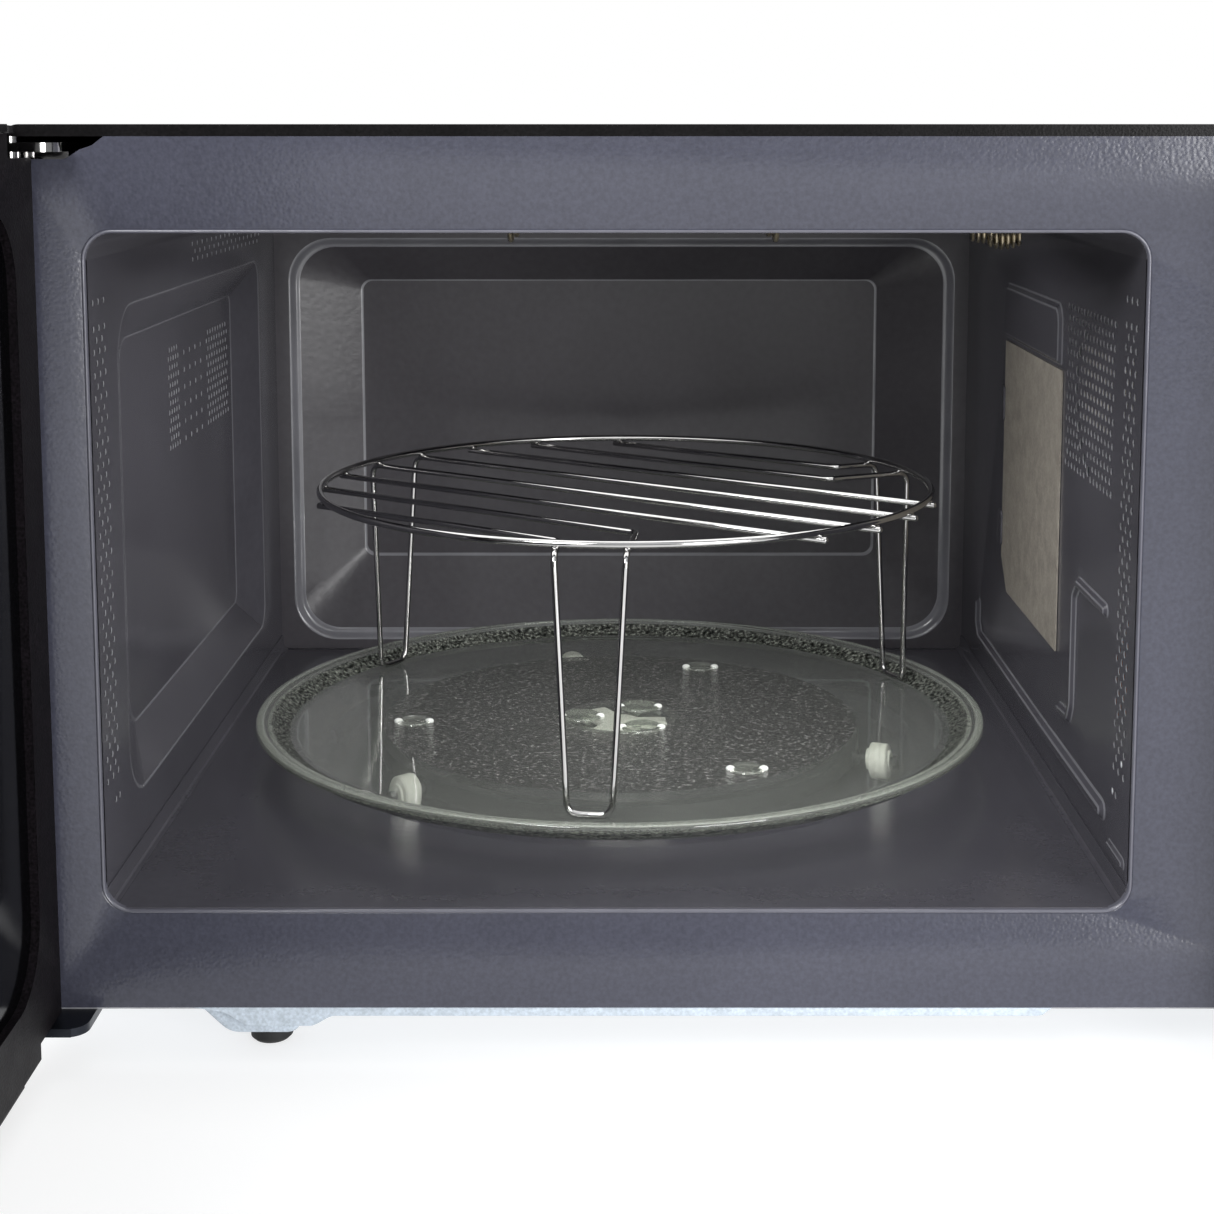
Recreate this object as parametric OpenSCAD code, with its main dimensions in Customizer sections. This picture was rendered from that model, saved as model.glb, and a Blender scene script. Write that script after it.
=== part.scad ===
// Free-standing microwave oven with grill, turntable, wire rack and side-hinged door.
// Origin: centre of the four feet, on the surface the oven stands on. +Z up, front faces -Y.
// The door is drawn open at 90 degrees.

/* [Body] */
// Width of the case
body_w = 520; // [515:1:535]
// Depth of the case, from the front plate to the rear panel
body_d = 405; // [402:1:430]
// Height of the oven, feet included
body_h = 326; // [324:1:340]
// Height of a rubber foot
foot_h = 9; // [7:1:10]
// Foot position sideways, from the middle
foot_x = 181; // [175:1:190]
// Foot position front to back, from the middle
foot_y = 178; // [170:1:180]
// Thickness of the folded sheet metal
sheet = 1; // [0.8:0.1:1]

/* [Cavity] */
// Width of the oven cavity
cavity_w = 354; // [350:1:354]
// Height of the oven cavity
cavity_h = 234; // [228:1:234]
// Depth of the oven cavity, to the bottom of its dished back
cavity_d = 372; // [368:1:372]
// Depth of the dish in the back
dish_d = 17; // [12:1:18]
// Height of the cavity floor above the standing surface
floor_z = 56; // [56:0.5:57]
// Front plate left of the cavity opening
left_margin = 26.5; // [26:0.5:28]
// Corner radius of the cavity opening
corner_r = 9; // [6:1:12]

/* [Door] */
// Thickness of the door
door_t = 36; // [35:0.5:38]
// Width of the door
door_w = 424.5; // [424.5:0.5:425]
// Gap between the closed door and the front plate
door_gap = 0.8; // [0.6:0.1:1]
// Width of the textured border on the inside of the door
border_w = 24; // [20:1:24]
// Height of the door's lower edge
door_z = 6; // [5:1:8]

/* [Turntable] */
// Diameter of the glass tray
tray_d = 315; // [305:1:318]
// Turntable axis behind the front plate
tray_depth = 190.5; // [186:0.5:192]
// Radius of the circle that the rollers run on
track_r = 115; // [112:1:116]
// Radius of a roller
roller_r = 6.6; // [6.4:0.1:6.6]

/* [Rack] */
// Diameter of the rack's ring, at the middle of its wire
rack_d = 263.4; // [250:1:264]
// Height of the ring above the cavity floor
rack_h = 115.5; // [90:1:120]
// Diameter of the ring's wire
ring_wire = 3; // [2.5:0.1:3.5]
// Diameter of the bars' wire
bar_wire = 2.6; // [2:0.1:3]
// Distance between two bars
bar_pitch = 30; // [28:1:30]

/* [Controls] */
// Travel of a key
key_travel = 1; // [0.5:0.1:1.2]
// Diameter of the dial
dial_d = 44; // [36:1:46]

/* [Hidden] */
$fn = 48;
x0 = -body_w / 2;
x1 = body_w / 2;
yf = -200;
yb = yf + body_d;
cav_x = x0 + left_margin + cavity_w / 2;
cav_l = cav_x - cavity_w / 2;
cav_r = cav_x + cavity_w / 2;
cav_top = floor_z + cavity_h;
cav_back = yf + cavity_d - dish_d;
plate_t = 1.2;
plate_b = floor_z - 35.5;
plate_top = body_h - 4;
tray_y = yf + tray_depth;
base_t = 1;
grill_z = cav_top + 5;
grill_y = [yf + 100, yf + 140];

// Door, as it stands closed
door_in = yf - door_gap;
door_out = door_in - door_t;
door_r = x0 + door_w;
cover_t = 6;
glass_t = 4;
pivot_x = x0 + 5.1;
pivot_y = yf - 7.2;
pin_r = 3;
pin_clear = 0.05;
hinge_t = 3;
hinge_top_z = body_h - 9;
hinge_low_z = plate_b - 4;
notch_w = 28;
latch_x = door_r - 9;
latch_z = [80, 252];

// Control panel
panel_l = door_r + 1;
panel_x = (panel_l + x1) / 2;
panel_b = yf - 1;
wall = 2.5;
key_w = 36;
key_h = 12;
key_pos = [for (row = [0:2], side = [-1, 1]) [panel_x + side * 21.5, 236 - row * 20]];
dial_z = 132;
button_z = 36;
button_size = [72, 28];

// Turntable
recess_z = floor_z - 5.5;
tray_base_z = recess_z + 2 * roller_r + 0.3;
axle_z = recess_z + roller_r + 0.15;
roller_angles = [222, 342, 102];

// Rack
rack_z = floor_z + rack_h;
bar_z = rack_z - (ring_wire + bar_wire) / 2 - 0.02;
bar_v = [for (i = [0:3]) bar_pitch * (i + 0.5)];

// Electrical compartment
fan_x = 192;
fan_z = 190;
magnetron_y = yf + 188;
magnetron_z = floor_z + 170;
screw_places = [[-246, 306], [0, 306], [246, 306], [-246, 34], [246, 34]];

// ---------- helpers ----------

// A block between two corners
module block(a, b) {
    translate(a) cube([b[0] - a[0], b[1] - a[1], b[2] - a[2]]);
}

// A flat outline in X and Z, thickened towards +Y from y
module upright(y, t) {
    translate([0, y + t, 0]) rotate([90, 0, 0]) linear_extrude(t) children();
}

// A flat outline in Y and Z, thickened towards +X from x
module sideways(x, t) {
    translate([x, 0, 0]) rotate([90, 0, 90]) linear_extrude(t) children();
}

// A rectangle between two corners, with rounded corners
module round_rect(a, b, r) {
    w = b[0] - a[0];
    h = b[1] - a[1];
    translate(a) union() {
        translate([r, 0]) square([w - 2 * r, h]);
        translate([0, r]) square([w, h - 2 * r]);
        for (x = [r, w - r], y = [r, h - r]) translate([x, y]) circle(r);
    }
}

// A rounded rectangle round a centre
module centred(p, size, r) {
    round_rect(p - size / 2, p + size / 2, r);
}

// A rectangle between two corners
module rect(a, b) {
    translate(a) square([b[0] - a[0], b[1] - a[1]]);
}

// A cylinder along +Y
module rod_y(p, r, l) {
    translate(p) rotate([-90, 0, 0]) cylinder(r = r, h = l);
}

// A cylinder along +X
module rod_x(p, r, l) {
    translate(p) rotate([0, 90, 0]) cylinder(r = r, h = l);
}

// Rows of slots in an outline
module slot_rows(origin, columns, rows, pitch, size) {
    for (i = [0:columns - 1], j = [0:rows - 1])
        translate([origin[0] + i * pitch[0], origin[1] + j * pitch[1]]) square(size);
}

// Rows of round holes in an outline
module hole_rows(origin, columns, rows, pitch, r) {
    for (i = [0:columns - 1], j = [0:rows - 1])
        translate([origin[0] + i * pitch, origin[1] + j * pitch]) circle(r, $fn = 16);
}

// Turns the closed door into its open place
module open_door() {
    translate([pivot_x, pivot_y, 0]) rotate([0, 0, -90])
        translate([-pivot_x, -pivot_y, 0]) children();
}

// ---------- casing ----------

// The wrap's outline: open below, with rounded upper edges
module case_outline(inset) {
    r = 6 - min(inset, 4);
    intersection() {
        round_rect([x0 + inset, -20], [x1 - inset, body_h - inset], r);
        rect([x0, plate_b - 2], [x1, body_h]);
    }
}

module outer_case() {
    color([0.05, 0.05, 0.055]) difference() {
        union() {
            upright(yf, body_d) difference() {
                case_outline(0);
                case_outline(sheet);
            }
            upright(yf, sheet) difference() {
                case_outline(0);
                case_outline(4);
            }
        }
        sideways(x0 - 1, sheet + 2) slot_rows([60, 70], 2, 8, [34, 9], [26, 3]);
        sideways(x1 - sheet - 1, sheet + 2) slot_rows([-40, 60], 4, 9, [34, 9], [26, 3]);
    }
}

module rear_panel() {
    color([0.62, 0.64, 0.66]) upright(yb - sheet, sheet) difference() {
        intersection() {
            case_outline(sheet);
            rect([x0, plate_b], [x1, body_h]);
        }
        slot_rows([fan_x - 60, 150], 3, 9, [38, 9], [32, 3.5]);
        slot_rows([cav_x - 40, 250], 3, 4, [38, 9], [32, 3.5]);
        for (p = screw_places) translate(p) circle(1.8);
        translate([205, 52]) circle(8);
    }
}

module case_screws() {
    color([0.7, 0.7, 0.72]) for (p = screw_places) {
        translate([p[0], 0, p[1]]) {
            rod_y([0, yb, 0], 4, 2.2);
            rod_y([0, yb - 8, 0], 1.7, 8.1);
        }
    }
}

module cord_gland() {
    color([0.06, 0.06, 0.06]) translate([205, 0, 52]) difference() {
        union() {
            rod_y([0, yb, 0], 12, 4);
            rod_y([0, yb - 8, 0], 7.9, 8.5);
        }
        rod_y([0, yb - 9, 0], 4, 14);
    }
}

// Sheet pad that carries a foot, with sloping ends
module foot_pad(x, y_lo, y_hi) {
    drop = plate_b - base_t - foot_h;
    translate([x, 0, foot_h]) upright(y_lo, y_hi - y_lo) difference() {
        polygon([[-22.5, drop + 0.5], [-22.5, drop], [-9, 0], [22, 0], [30.5, drop], [30.5, drop + 0.5]]);
        polygon([[-20, drop + 1], [-8, 1], [21, 1], [28.5, drop + 1]]);
    }
}

module base_plate() {
    color([0.75, 0.79, 0.83]) {
        z = plate_b - base_t;
        union() {
            difference() {
                block([x0 + sheet, yf + plate_t, z], [x1 - sheet, yb - sheet, plate_b]);
                for (y = [-1, 1], x = [-1, 1]) {
                    px = x * foot_x;
                    py = y < 0 ? [yf + 4, yf + 46] : [yb - 48, yb - 6];
                    block([px - 19, py[0], z - 1], [px + 27, py[1], plate_b + 1]);
                }
                block([-148.5, yf + 5, z - 1], [91, yf + 300, plate_b + 1]);
                for (i = [0:5]) block([130 + i * 18, 30, z - 1], [138 + i * 18, 80, plate_b + 1]);
            }
            for (x = [-foot_x, foot_x]) {
                foot_pad(x, yf + 4, yf + 46);
                foot_pad(x, yb - 48, yb - 6);
            }
            difference() {
                block([-149.5, yf + 4, z - 3], [92, yf + 301, z + 0.5]);
                block([-148.5, yf + 5, z - 2], [91, yf + 300, z + 1]);
            }
        }
    }
}

module feet() {
    color([0.03, 0.03, 0.03]) for (x = [-foot_x, foot_x], y = [-foot_y, foot_y])
        translate([x, y, 0]) rotate_extrude() polygon([
            [2.5, 0], [6.3, 0], [7.5, 1.2], [7.5, foot_h], [0, foot_h], [0, 5], [2.5, 5]
        ]);
}

module front_frame() {
    color([0.39, 0.39, 0.43]) upright(yf, plate_t) difference() {
        intersection() {
            case_outline(4);
            rect([x0, plate_b], [x1, plate_top]);
        }
        round_rect([cav_l, floor_z], [cav_r, cav_top], corner_r);
        rect([x0, hinge_top_z - 2.5], [x0 + 25.5, body_h]);
        for (z = latch_z) rect([latch_x - 3.5, z - 13], [latch_x + 3.5, z + 11]);
        round_rect([panel_l + 9, 32], [x1 - 10, 312], 4);
    }
}

// ---------- cavity ----------

module cavity_wrap() {
    port = [[yf + 140, floor_z + 66], [yf + 236, floor_z + 166]];
    color([0.24, 0.24, 0.26]) difference() {
        upright(yf + plate_t, cav_back - yf - plate_t) intersection() {
            difference() {
                round_rect([cav_l - sheet, 0], [cav_r + sheet, cav_top + sheet], corner_r + sheet);
                round_rect([cav_l, -1], [cav_r, cav_top], corner_r);
            }
            rect([cav_l - 5, floor_z], [cav_r + 5, cav_top + 5]);
        }
        sideways(cav_r - 2, 6) rect(port[0], port[1]);
        sideways(cav_r - 2, 6) hole_rows([yf + 44, floor_z + 142], 7, 6, 11, 2);
        sideways(cav_l - 4, 6) hole_rows([yf + 118, floor_z + 136], 11, 4, 11, 2);
        block([cav_x - 158, yf + 78, cav_top - 2], [cav_x + 158, yf + 162, cav_top + 4]);
    }
}

module cavity_back() {
    lo = [cav_x - 169, floor_z + 7];
    hi = [cav_x + 169, floor_z + 213];
    color([0.24, 0.24, 0.26]) union() {
        upright(cav_back, sheet) difference() {
            rect([cav_l - sheet, floor_z - sheet], [cav_r + sheet, cav_top + sheet]);
            round_rect(lo, hi, 21);
        }
        upright(cav_back + sheet - 0.2, dish_d - sheet + 0.4) difference() {
            round_rect(lo - [1, 1], hi + [1, 1], 22);
            round_rect(lo, hi, 21);
        }
        upright(cav_back + dish_d, sheet) round_rect(lo - [0.5, 0.5], hi + [0.5, 0.5], 21.5);
    }
}

module cavity_floor() {
    r = 130;
    slope = floor_z - recess_z;
    color([0.24, 0.24, 0.26]) union() {
        difference() {
            block([cav_l - sheet, yf + plate_t, floor_z - sheet], [cav_r + sheet, cav_back, floor_z]);
            translate([cav_x, tray_y, floor_z - 5]) cylinder(r = r, h = 10);
        }
        translate([cav_x, tray_y, 0]) rotate_extrude($fn = 96) polygon([
            [9, recess_z - sheet], [r - slope + 0.5, recess_z - sheet], [r + 0.5, floor_z - sheet],
            [r + 0.5, floor_z], [r, floor_z], [r - slope, recess_z], [9, recess_z]
        ]);
    }
}

module mica_cover() {
    a = yf + 125;
    b = yf + 245;
    color([0.42, 0.40, 0.37]) sideways(cav_r - 0.8, 0.6) polygon([
        [a, floor_z + 59], [b - 14, floor_z + 59], [b, floor_z + 73],
        [b, floor_z + 173], [a, floor_z + 173]
    ]);
}

module waveguide() {
    a = [cav_r + sheet, yf + 130, floor_z + 62];
    b = [cav_r + sheet + 28, yf + 246, floor_z + 212];
    color([0.7, 0.7, 0.72]) difference() {
        block(a, b);
        block([a[0] - 1, a[1] + 1, a[2] + 1], [b[0] - 1, b[1] - 1, b[2] - 1]);
        rod_x([b[0] - 3, magnetron_y, magnetron_z], 12, 6);
    }
}

module magnetron() {
    x = cav_r + sheet + 28;
    color([0.72, 0.72, 0.70]) translate([x, magnetron_y, magnetron_z]) union() {
        block([0.2, -40, -40], [3, 40, 40]);
        block([78, -40, -40], [80, 40, 40]);
        block([2.9, -40, -40], [78.1, -38, 40]);
        block([2.9, 38, -40], [78.1, 40, 40]);
        rod_x([2.9, 0, 0], 19, 75.2);
        rod_x([-18, 0, 0], 7.5, 21);
        for (i = [0:5]) block([14 + i * 9, -38.1, -30], [15.2 + i * 9, 38.1, 30]);
    }
}

// ---------- electrical compartment ----------

module transformer_core() {
    color([0.30, 0.30, 0.32]) upright(110, 60) difference() {
        rect([145, plate_b + 0.2], [245, plate_b + 82]);
        rect([163, plate_b + 17], [183, plate_b + 65]);
        rect([207, plate_b + 17], [227, plate_b + 65]);
    }
}

module transformer_coils() {
    color([0.72, 0.40, 0.16]) for (z = [plate_b + 18, plate_b + 42])
        translate([0, 0, z]) linear_extrude(22) difference() {
            round_rect([163.4, 92], [226.6, 188], 8);
            rect([182.6, 109.6], [207.4, 170.4]);
        }
}

module capacitor() {
    color([0.72, 0.73, 0.74]) translate([218, 60, plate_b + 0.2]) union() {
        cylinder(r = 26, h = 88);
        for (x = [-9, 9]) translate([x - 3, -0.5, 87.9]) cube([6, 1, 12]);
    }
}

module capacitor_clamp() {
    color([0.60, 0.61, 0.62]) translate([218, 60, plate_b]) difference() {
        union() {
            translate([0, 0, 40]) cylinder(r = 27, h = 16);
            block([-8, -38, 40], [8, -25, 42]);
            block([-8, -39, 0], [8, -38, 42]);
        }
        translate([0, 0, 30]) cylinder(r = 26, h = 40);
    }
}

module diode() {
    color([0.15, 0.15, 0.16]) translate([160, 62, plate_b]) union() {
        block([-6, -10, 0.2], [6, 10, 10]);
        translate([0, 0, 9.9]) cylinder(r = 3, h = 5);
    }
}

module fan_motor() {
    color([0.55, 0.55, 0.57]) translate([fan_x, 0, fan_z]) union() {
        rod_y([0, 178, 0], 24, 14);
        rod_y([0, 192, 0], 8, 6);
        rod_y([0, 156, 0], 2, 23);
        block([-58, 190, -6], [58, 192, 6]);
    }
}

module fan_shroud() {
    color([0.10, 0.10, 0.11]) union() {
        upright(150, 2) difference() {
            rect([fan_x - 61, fan_z - 61], [fan_x + 61, fan_z + 61]);
            translate([fan_x, fan_z]) circle(53);
        }
        upright(151.9, 40) difference() {
            rect([fan_x - 61, fan_z - 61], [fan_x + 61, fan_z + 61]);
            rect([fan_x - 59, fan_z - 59], [fan_x + 59, fan_z + 59]);
        }
    }
}

module fan_blade() {
    color([0.85, 0.85, 0.83]) translate([fan_x, 165, fan_z]) difference() {
        union() {
            rod_y([0, -7, 0], 11, 14);
            for (i = [0:4]) rotate([0, i * 72, 0]) translate([29, 0, 0]) rotate([32, 0, 0])
                cube([40, 1.4, 17], center = true);
        }
        rod_y([0, -8, 0], 2 + pin_clear, 16);
    }
}

module noise_filter() {
    color([0.20, 0.42, 0.25]) union() {
        block([140, -150, 290], [240, -80, 291.6]);
        translate([165, -115, 291.5]) cylinder(r = 12, h = 14);
        block([185, -135, 291.5], [200, -95, 309]);
        block([208, -140, 291.5], [228, -90, 303]);
    }
}

module control_panel() {
    color([0.02, 0.02, 0.025]) difference() {
        upright(door_out, panel_b - door_out) round_rect([panel_l, door_z], [x1, body_h], 4);
        upright(door_out + wall, door_t)
            round_rect([panel_l + wall, door_z + wall], [x1 - wall, body_h - wall], 2);
        upright(door_out - 1, wall + 2) {
            centred([panel_x, 284], [76, 32], 2);
            for (p = key_pos) centred(p, [key_w + 0.8, key_h + 0.8], 2.4);
            centred([panel_x, button_z], button_size + [0.8, 0.8], 3.4);
        }
        rod_y([panel_x, door_out - 1, dial_z], 5, wall + 2);
    }
}

module display_window() {
    color([0.05, 0.10, 0.12]) upright(door_out, 2) centred([panel_x, 284], [76, 32], 2);
}

module control_board() {
    color([0.16, 0.36, 0.20]) union() {
        block([panel_l + 6, -222, 62], [x1 - 6, -220.4, 306]);
        block([panel_x - 34, -232, 270], [panel_x + 34, -221.9, 298]);
        block([panel_x - 10, -230, dial_z - 10], [panel_x + 10, -221.9, dial_z + 10]);
        block([panel_x + 12, -220.5, 210], [panel_x + 32, -208, 236]);
        block([panel_x - 30, -220.5, 80], [panel_x - 8, -210, 100]);
    }
}

// One key, its cap in front of the panel and its stem behind
module key(i) {
    p = key_pos[i];
    color([0.09, 0.09, 0.10]) union() {
        upright(door_out - 1.5, 6) centred(p, [key_w, key_h], 2);
        rod_y([p[0], door_out + 4.4, p[1]], 2.5, 8.8);
    }
}

module dial() {
    color([0.55, 0.55, 0.57]) translate([panel_x, 0, dial_z]) rotate([-90, 0, 0]) union() {
        translate([0, 0, door_out - 16]) cylinder(r = dial_d / 2 - 1, h = 1.01);
        translate([0, 0, door_out - 15]) cylinder(r = dial_d / 2, h = 14);
        translate([0, 0, door_out - 1.1]) cylinder(r = 3, h = 7.6);
    }
}

module door_button() {
    color([0.09, 0.09, 0.10]) union() {
        upright(door_out - 2, 8) centred([panel_x, button_z], button_size, 3);
        block([panel_x - 3, door_out + 5.9, button_z + 2], [panel_x + 3, yf + 10.7, button_z + 8]);
    }
}

module release_lever() {
    z = button_z + 24;
    color([0.86, 0.86, 0.83]) difference() {
        union() {
            rod_x([latch_x + 11, yf + 14, z], 5, 48);
            block([panel_x - 8, yf + 11, z - 26], [panel_x + 2, yf + 15, z - 3]);
            block([latch_x + 11, yf + 3, z - 3], [latch_x + 15, yf + 12, z + 1]);
        }
        rod_x([latch_x + 10, yf + 14, z], 2 + pin_clear, 50);
    }
}

module latch_board() {
    z = button_z + 24;
    color([0.80, 0.80, 0.77]) union() {
        difference() {
            block([latch_x + 5, yf + 1.5, 54], [latch_x + 8, yf + 32, 288]);
            for (h = [120, 170, 220]) rod_x([latch_x + 4, yf + 18, h], 6, 6);
        }
        rod_x([latch_x + 7.9, yf + 14, z], 2, 54);
    }
}

module microswitches() {
    color([0.10, 0.10, 0.11]) for (z = [78, 230, 254]) {
        block([latch_x - 6, yf + 21, z - 8], [latch_x + 4.8, yf + 31, z + 14]);
        block([latch_x - 1, yf + 18.5, z], [latch_x + 2, yf + 21.1, z + 3]);
    }
}

module oven_lamp() {
    color([0.90, 0.88, 0.80]) translate([cav_r + sheet, yf + 78, floor_z + 172]) union() {
        rod_x([2, 0, 0], 11, 22);
        rod_x([23.9, 0, 0], 15, 14);
        block([1, -20, -16], [2.1, 20, 16]);
    }
}

module turntable_motor() {
    color([0.66, 0.66, 0.66]) translate([cav_x, tray_y, 0]) difference() {
        union() {
            translate([0, 0, recess_z - sheet - 16]) cylinder(r = 25, h = 15.8);
            for (s = [-1, 1])
                translate([s * 27 - 7, -6, recess_z - sheet - 1.4]) cube([14, 12, 1.2]);
        }
        translate([0, 0, recess_z - sheet - 12]) cylinder(r = 5.2, h = 20);
    }
}

module grill_tubes() {
    color([0.88, 0.82, 0.72]) for (y = grill_y) difference() {
        union() {
            rod_x([cav_x - 110, y, grill_z], 5, 246);
            rod_x([cav_x - 118, y, grill_z], 6.5, 12);
            rod_x([cav_x + 132, y, grill_z], 6.5, 8);
        }
        rod_x([cav_x - 104, y, grill_z], 3.6, 234);
    }
}

module grill_reflector() {
    z = cav_top + sheet;
    color([0.72, 0.72, 0.73]) difference() {
        union() {
            block([cav_x - 165, yf + 72, z], [cav_x + 165, yf + 168, z + 1]);
            block([cav_x - 156, yf + 80, z], [cav_x + 156, yf + 160, z + 14]);
        }
        block([cav_x - 155, yf + 81, z - 1], [cav_x + 155, yf + 159, z + 13]);
    }
}

// Wire loops and end posts that carry the grill tubes
module grill_supports() {
    color([0.80, 0.72, 0.50]) for (y = grill_y) {
        for (x = [cav_x - 41, cav_x + 60]) {
            loop_x([x, y, grill_z - 3], 9.5, 1);
            translate([x - 0.8, y - 0.8, grill_z + 5.6]) cube([1.6, 1.6, 3.4]);
        }
        translate([cav_x - 116, y - 4, grill_z + 6.6]) cube([8, 8, 2.4]);
        translate([cav_x + 133, y - 4, grill_z + 6.6]) cube([6, 8, 2.4]);
    }
}

// A wire ring of radius r round an axis along X
module loop_x(p, r, wire) {
    translate(p) rotate([0, 90, 0]) rotate_extrude() translate([r, 0]) circle(wire, $fn = 16);
}

module thermal_cutouts() {
    color([0.75, 0.72, 0.66]) for (p = [[cav_x + 60, yf + 240], [cav_x - 80, yf + 240]])
        translate([p[0], p[1], cav_top + sheet]) union() {
            cylinder(r = 9, h = 8);
            translate([-14, -5, 0]) cube([28, 10, 1]);
        }
}

// ---------- hinges ----------

module hinge_outline() {
    difference() {
        union() {
            rect([x0 + 4.2, pivot_y], [x0 + 22, yf + 16]);
            rect([pivot_x, yf - 15], [x0 + 17, pivot_y + 1]);
            translate([pivot_x, pivot_y]) circle(7.1);
            translate([x0 + 15, yf - 8]) circle(7);
        }
        translate([pivot_x, pivot_y]) circle(pin_r + pin_clear);
    }
}

module hinge_upper() {
    color([0.78, 0.78, 0.80]) union() {
        intersection() {
            translate([0, 0, hinge_top_z]) linear_extrude(hinge_t) hinge_outline();
            block([x0 + 0.5, yf - 20, 0], [x0 + 24, yf + 20, body_h]);
        }
        block([x0 + 4.2, yf + plate_t, hinge_top_z - 34], [x0 + 22, yf + plate_t + 2, hinge_top_z + 0.1]);
    }
}

module hinge_lower() {
    color([0.36, 0.40, 0.47]) intersection() {
        translate([0, 0, hinge_low_z]) linear_extrude(hinge_t) hinge_outline();
        block([x0 + 0.5, yf - 20, 0], [x0 + 24, yf + 20, body_h]);
    }
}

module hinge_pins() {
    color([0.78, 0.78, 0.80]) open_door() {
        translate([pivot_x, pivot_y, hinge_top_z - 14]) cylinder(r = pin_r, h = 19);
        translate([pivot_x, pivot_y, hinge_low_z - 2]) cylinder(r = pin_r, h = 19);
    }
}

// ---------- door, drawn closed and turned open ----------

// Space that the hinge plates need inside the door
module hinge_notches() {
    block([x0 - 1, door_out + 7, hinge_top_z - 2], [x0 + notch_w, door_in + 1, hinge_top_z + 6]);
    block([x0 - 1, door_out + 7, 0], [x0 + notch_w, door_in + 1, hinge_low_z + 5]);
}

// Room for the edge that turns past the front plate
module edge_chamfer() {
    translate([x0, door_in, -1]) linear_extrude(body_h + 2)
        polygon([[-1, 1], [3.5, 1], [3.5, 0], [0, -3.7], [-1, -3.7]]);
}

module pin_holes() {
    translate([pivot_x, pivot_y, -1]) cylinder(r = pin_r, h = body_h + 2);
}

module door_frame() {
    skin = door_out + glass_t;
    rim = door_in - cover_t;
    color([0.02, 0.02, 0.022]) open_door() difference() {
        union() {
            difference() {
                upright(skin, rim - skin) round_rect([x0, door_z], [door_r, body_h], 4);
                upright(skin + wall, door_t)
                    round_rect([x0 + wall, door_z + wall], [door_r - wall, body_h - wall], 2);
                upright(skin - 1, wall + 2)
                    round_rect([cav_l + 20, floor_z + 20], [cav_r - 20, cav_top - 20], 12);
            }
            block([x0 + 0.2, door_out + 18, hinge_top_z - 20], [x0 + 14, rim, hinge_top_z - 2]);
            block([x0 + 0.2, door_out + 18, hinge_low_z + 5], [x0 + 14, rim, hinge_low_z + 23]);
        }
        hinge_notches();
        pin_holes();
    }
}

module door_glass() {
    color([0.02, 0.02, 0.02]) open_door()
        upright(door_out, glass_t) round_rect([x0, door_z], [door_r, body_h], 4);
}

// Outline of the glossy inner panel, inside the textured border
module film_outline() {
    round_rect([x0 + border_w, door_z + 34], [door_r - border_w, body_h - 27], 25);
}

module choke_cover() {
    color([0.05, 0.045, 0.05]) open_door() difference() {
        upright(door_in - cover_t, cover_t) difference() {
            rect([x0, door_z + 10], [door_r, body_h - 3]);
            film_outline();
            for (z = latch_z) rect([latch_x - 3, z - 12], [latch_x + 3, z + 10]);
        }
        hinge_notches();
        pin_holes();
        edge_chamfer();
    }
}

module door_film() {
    color([0.01, 0.01, 0.01]) open_door()
        upright(door_in - cover_t + 1, 2) film_outline();
}

module door_choke() {
    lo = [x0 + border_w + 2, door_z + 36];
    hi = [door_r - border_w - 2, body_h - 29];
    y = door_in - cover_t;
    color([0.35, 0.35, 0.37]) open_door() union() {
        upright(y - 15, 15) difference() {
            round_rect(lo, hi, 20);
            round_rect(lo + [1, 1], hi - [1, 1], 19);
        }
        upright(y - 15, 15) difference() {
            round_rect(lo + [28, 24], hi - [28, 24], 12);
            round_rect(lo + [29, 25], hi - [29, 25], 11);
        }
        upright(y - 15, 1) difference() {
            round_rect(lo, hi, 20);
            round_rect(lo + [29, 25], hi - [29, 25], 11);
        }
        upright(y - 6, 1) round_rect(lo + [28.5, 24.5], hi - [28.5, 24.5], 11);
    }
}

module latch_hook() {
    bar = door_out + 12;
    color([0.86, 0.86, 0.83]) open_door() union() {
        block([latch_x - 5, bar, 66], [latch_x + 5, bar + 3, 268]);
        for (z = latch_z) sideways(latch_x - 2, 4) polygon([
            [bar + 2.9, z - 6], [yf + 12, z - 6], [yf + 17, z - 1], [yf + 12, z + 8],
            [yf + 8, z + 8], [yf + 8, z + 4], [bar + 2.9, z + 6]
        ]);
    }
}

// ---------- turntable ----------

module drive_coupler() {
    top = tray_base_z - 0.4;
    color([0.92, 0.92, 0.90]) translate([cav_x, tray_y, 0]) union() {
        translate([0, 0, recess_z - 9]) cylinder(r = 5, h = 12);
        translate([0, 0, recess_z + 0.5]) cylinder(r = 8, h = top - recess_z - 0.5);
        for (a = [0, 120, 240]) rotate([0, 0, a])
            translate([0, -3.5, top - 6]) cube([20, 7, 6]);
    }
}

module glass_tray() {
    r = tray_d / 2;
    b = tray_base_z;
    color([0.55, 0.60, 0.55, 0.5]) translate([cav_x, tray_y, 0]) union() {
        rotate_extrude($fn = 128) polygon([
            [0, b], [r - 14, b], [r - 9, b + 2], [r - 4, b + 6], [r - 0.8, b + 7],
            [r, b + 8], [r, b + 9.2], [r - 0.8, b + 10], [r - 5, b + 10], [r - 7, b + 9],
            [r - 12.5, b + 4.5], [0, b + 4.5]
        ]);
        for (a = [60, 180, 300]) rotate([0, 0, a]) translate([14, 0, b - 3]) cylinder(r = 2.5, h = 3.1);
    }
}

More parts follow.
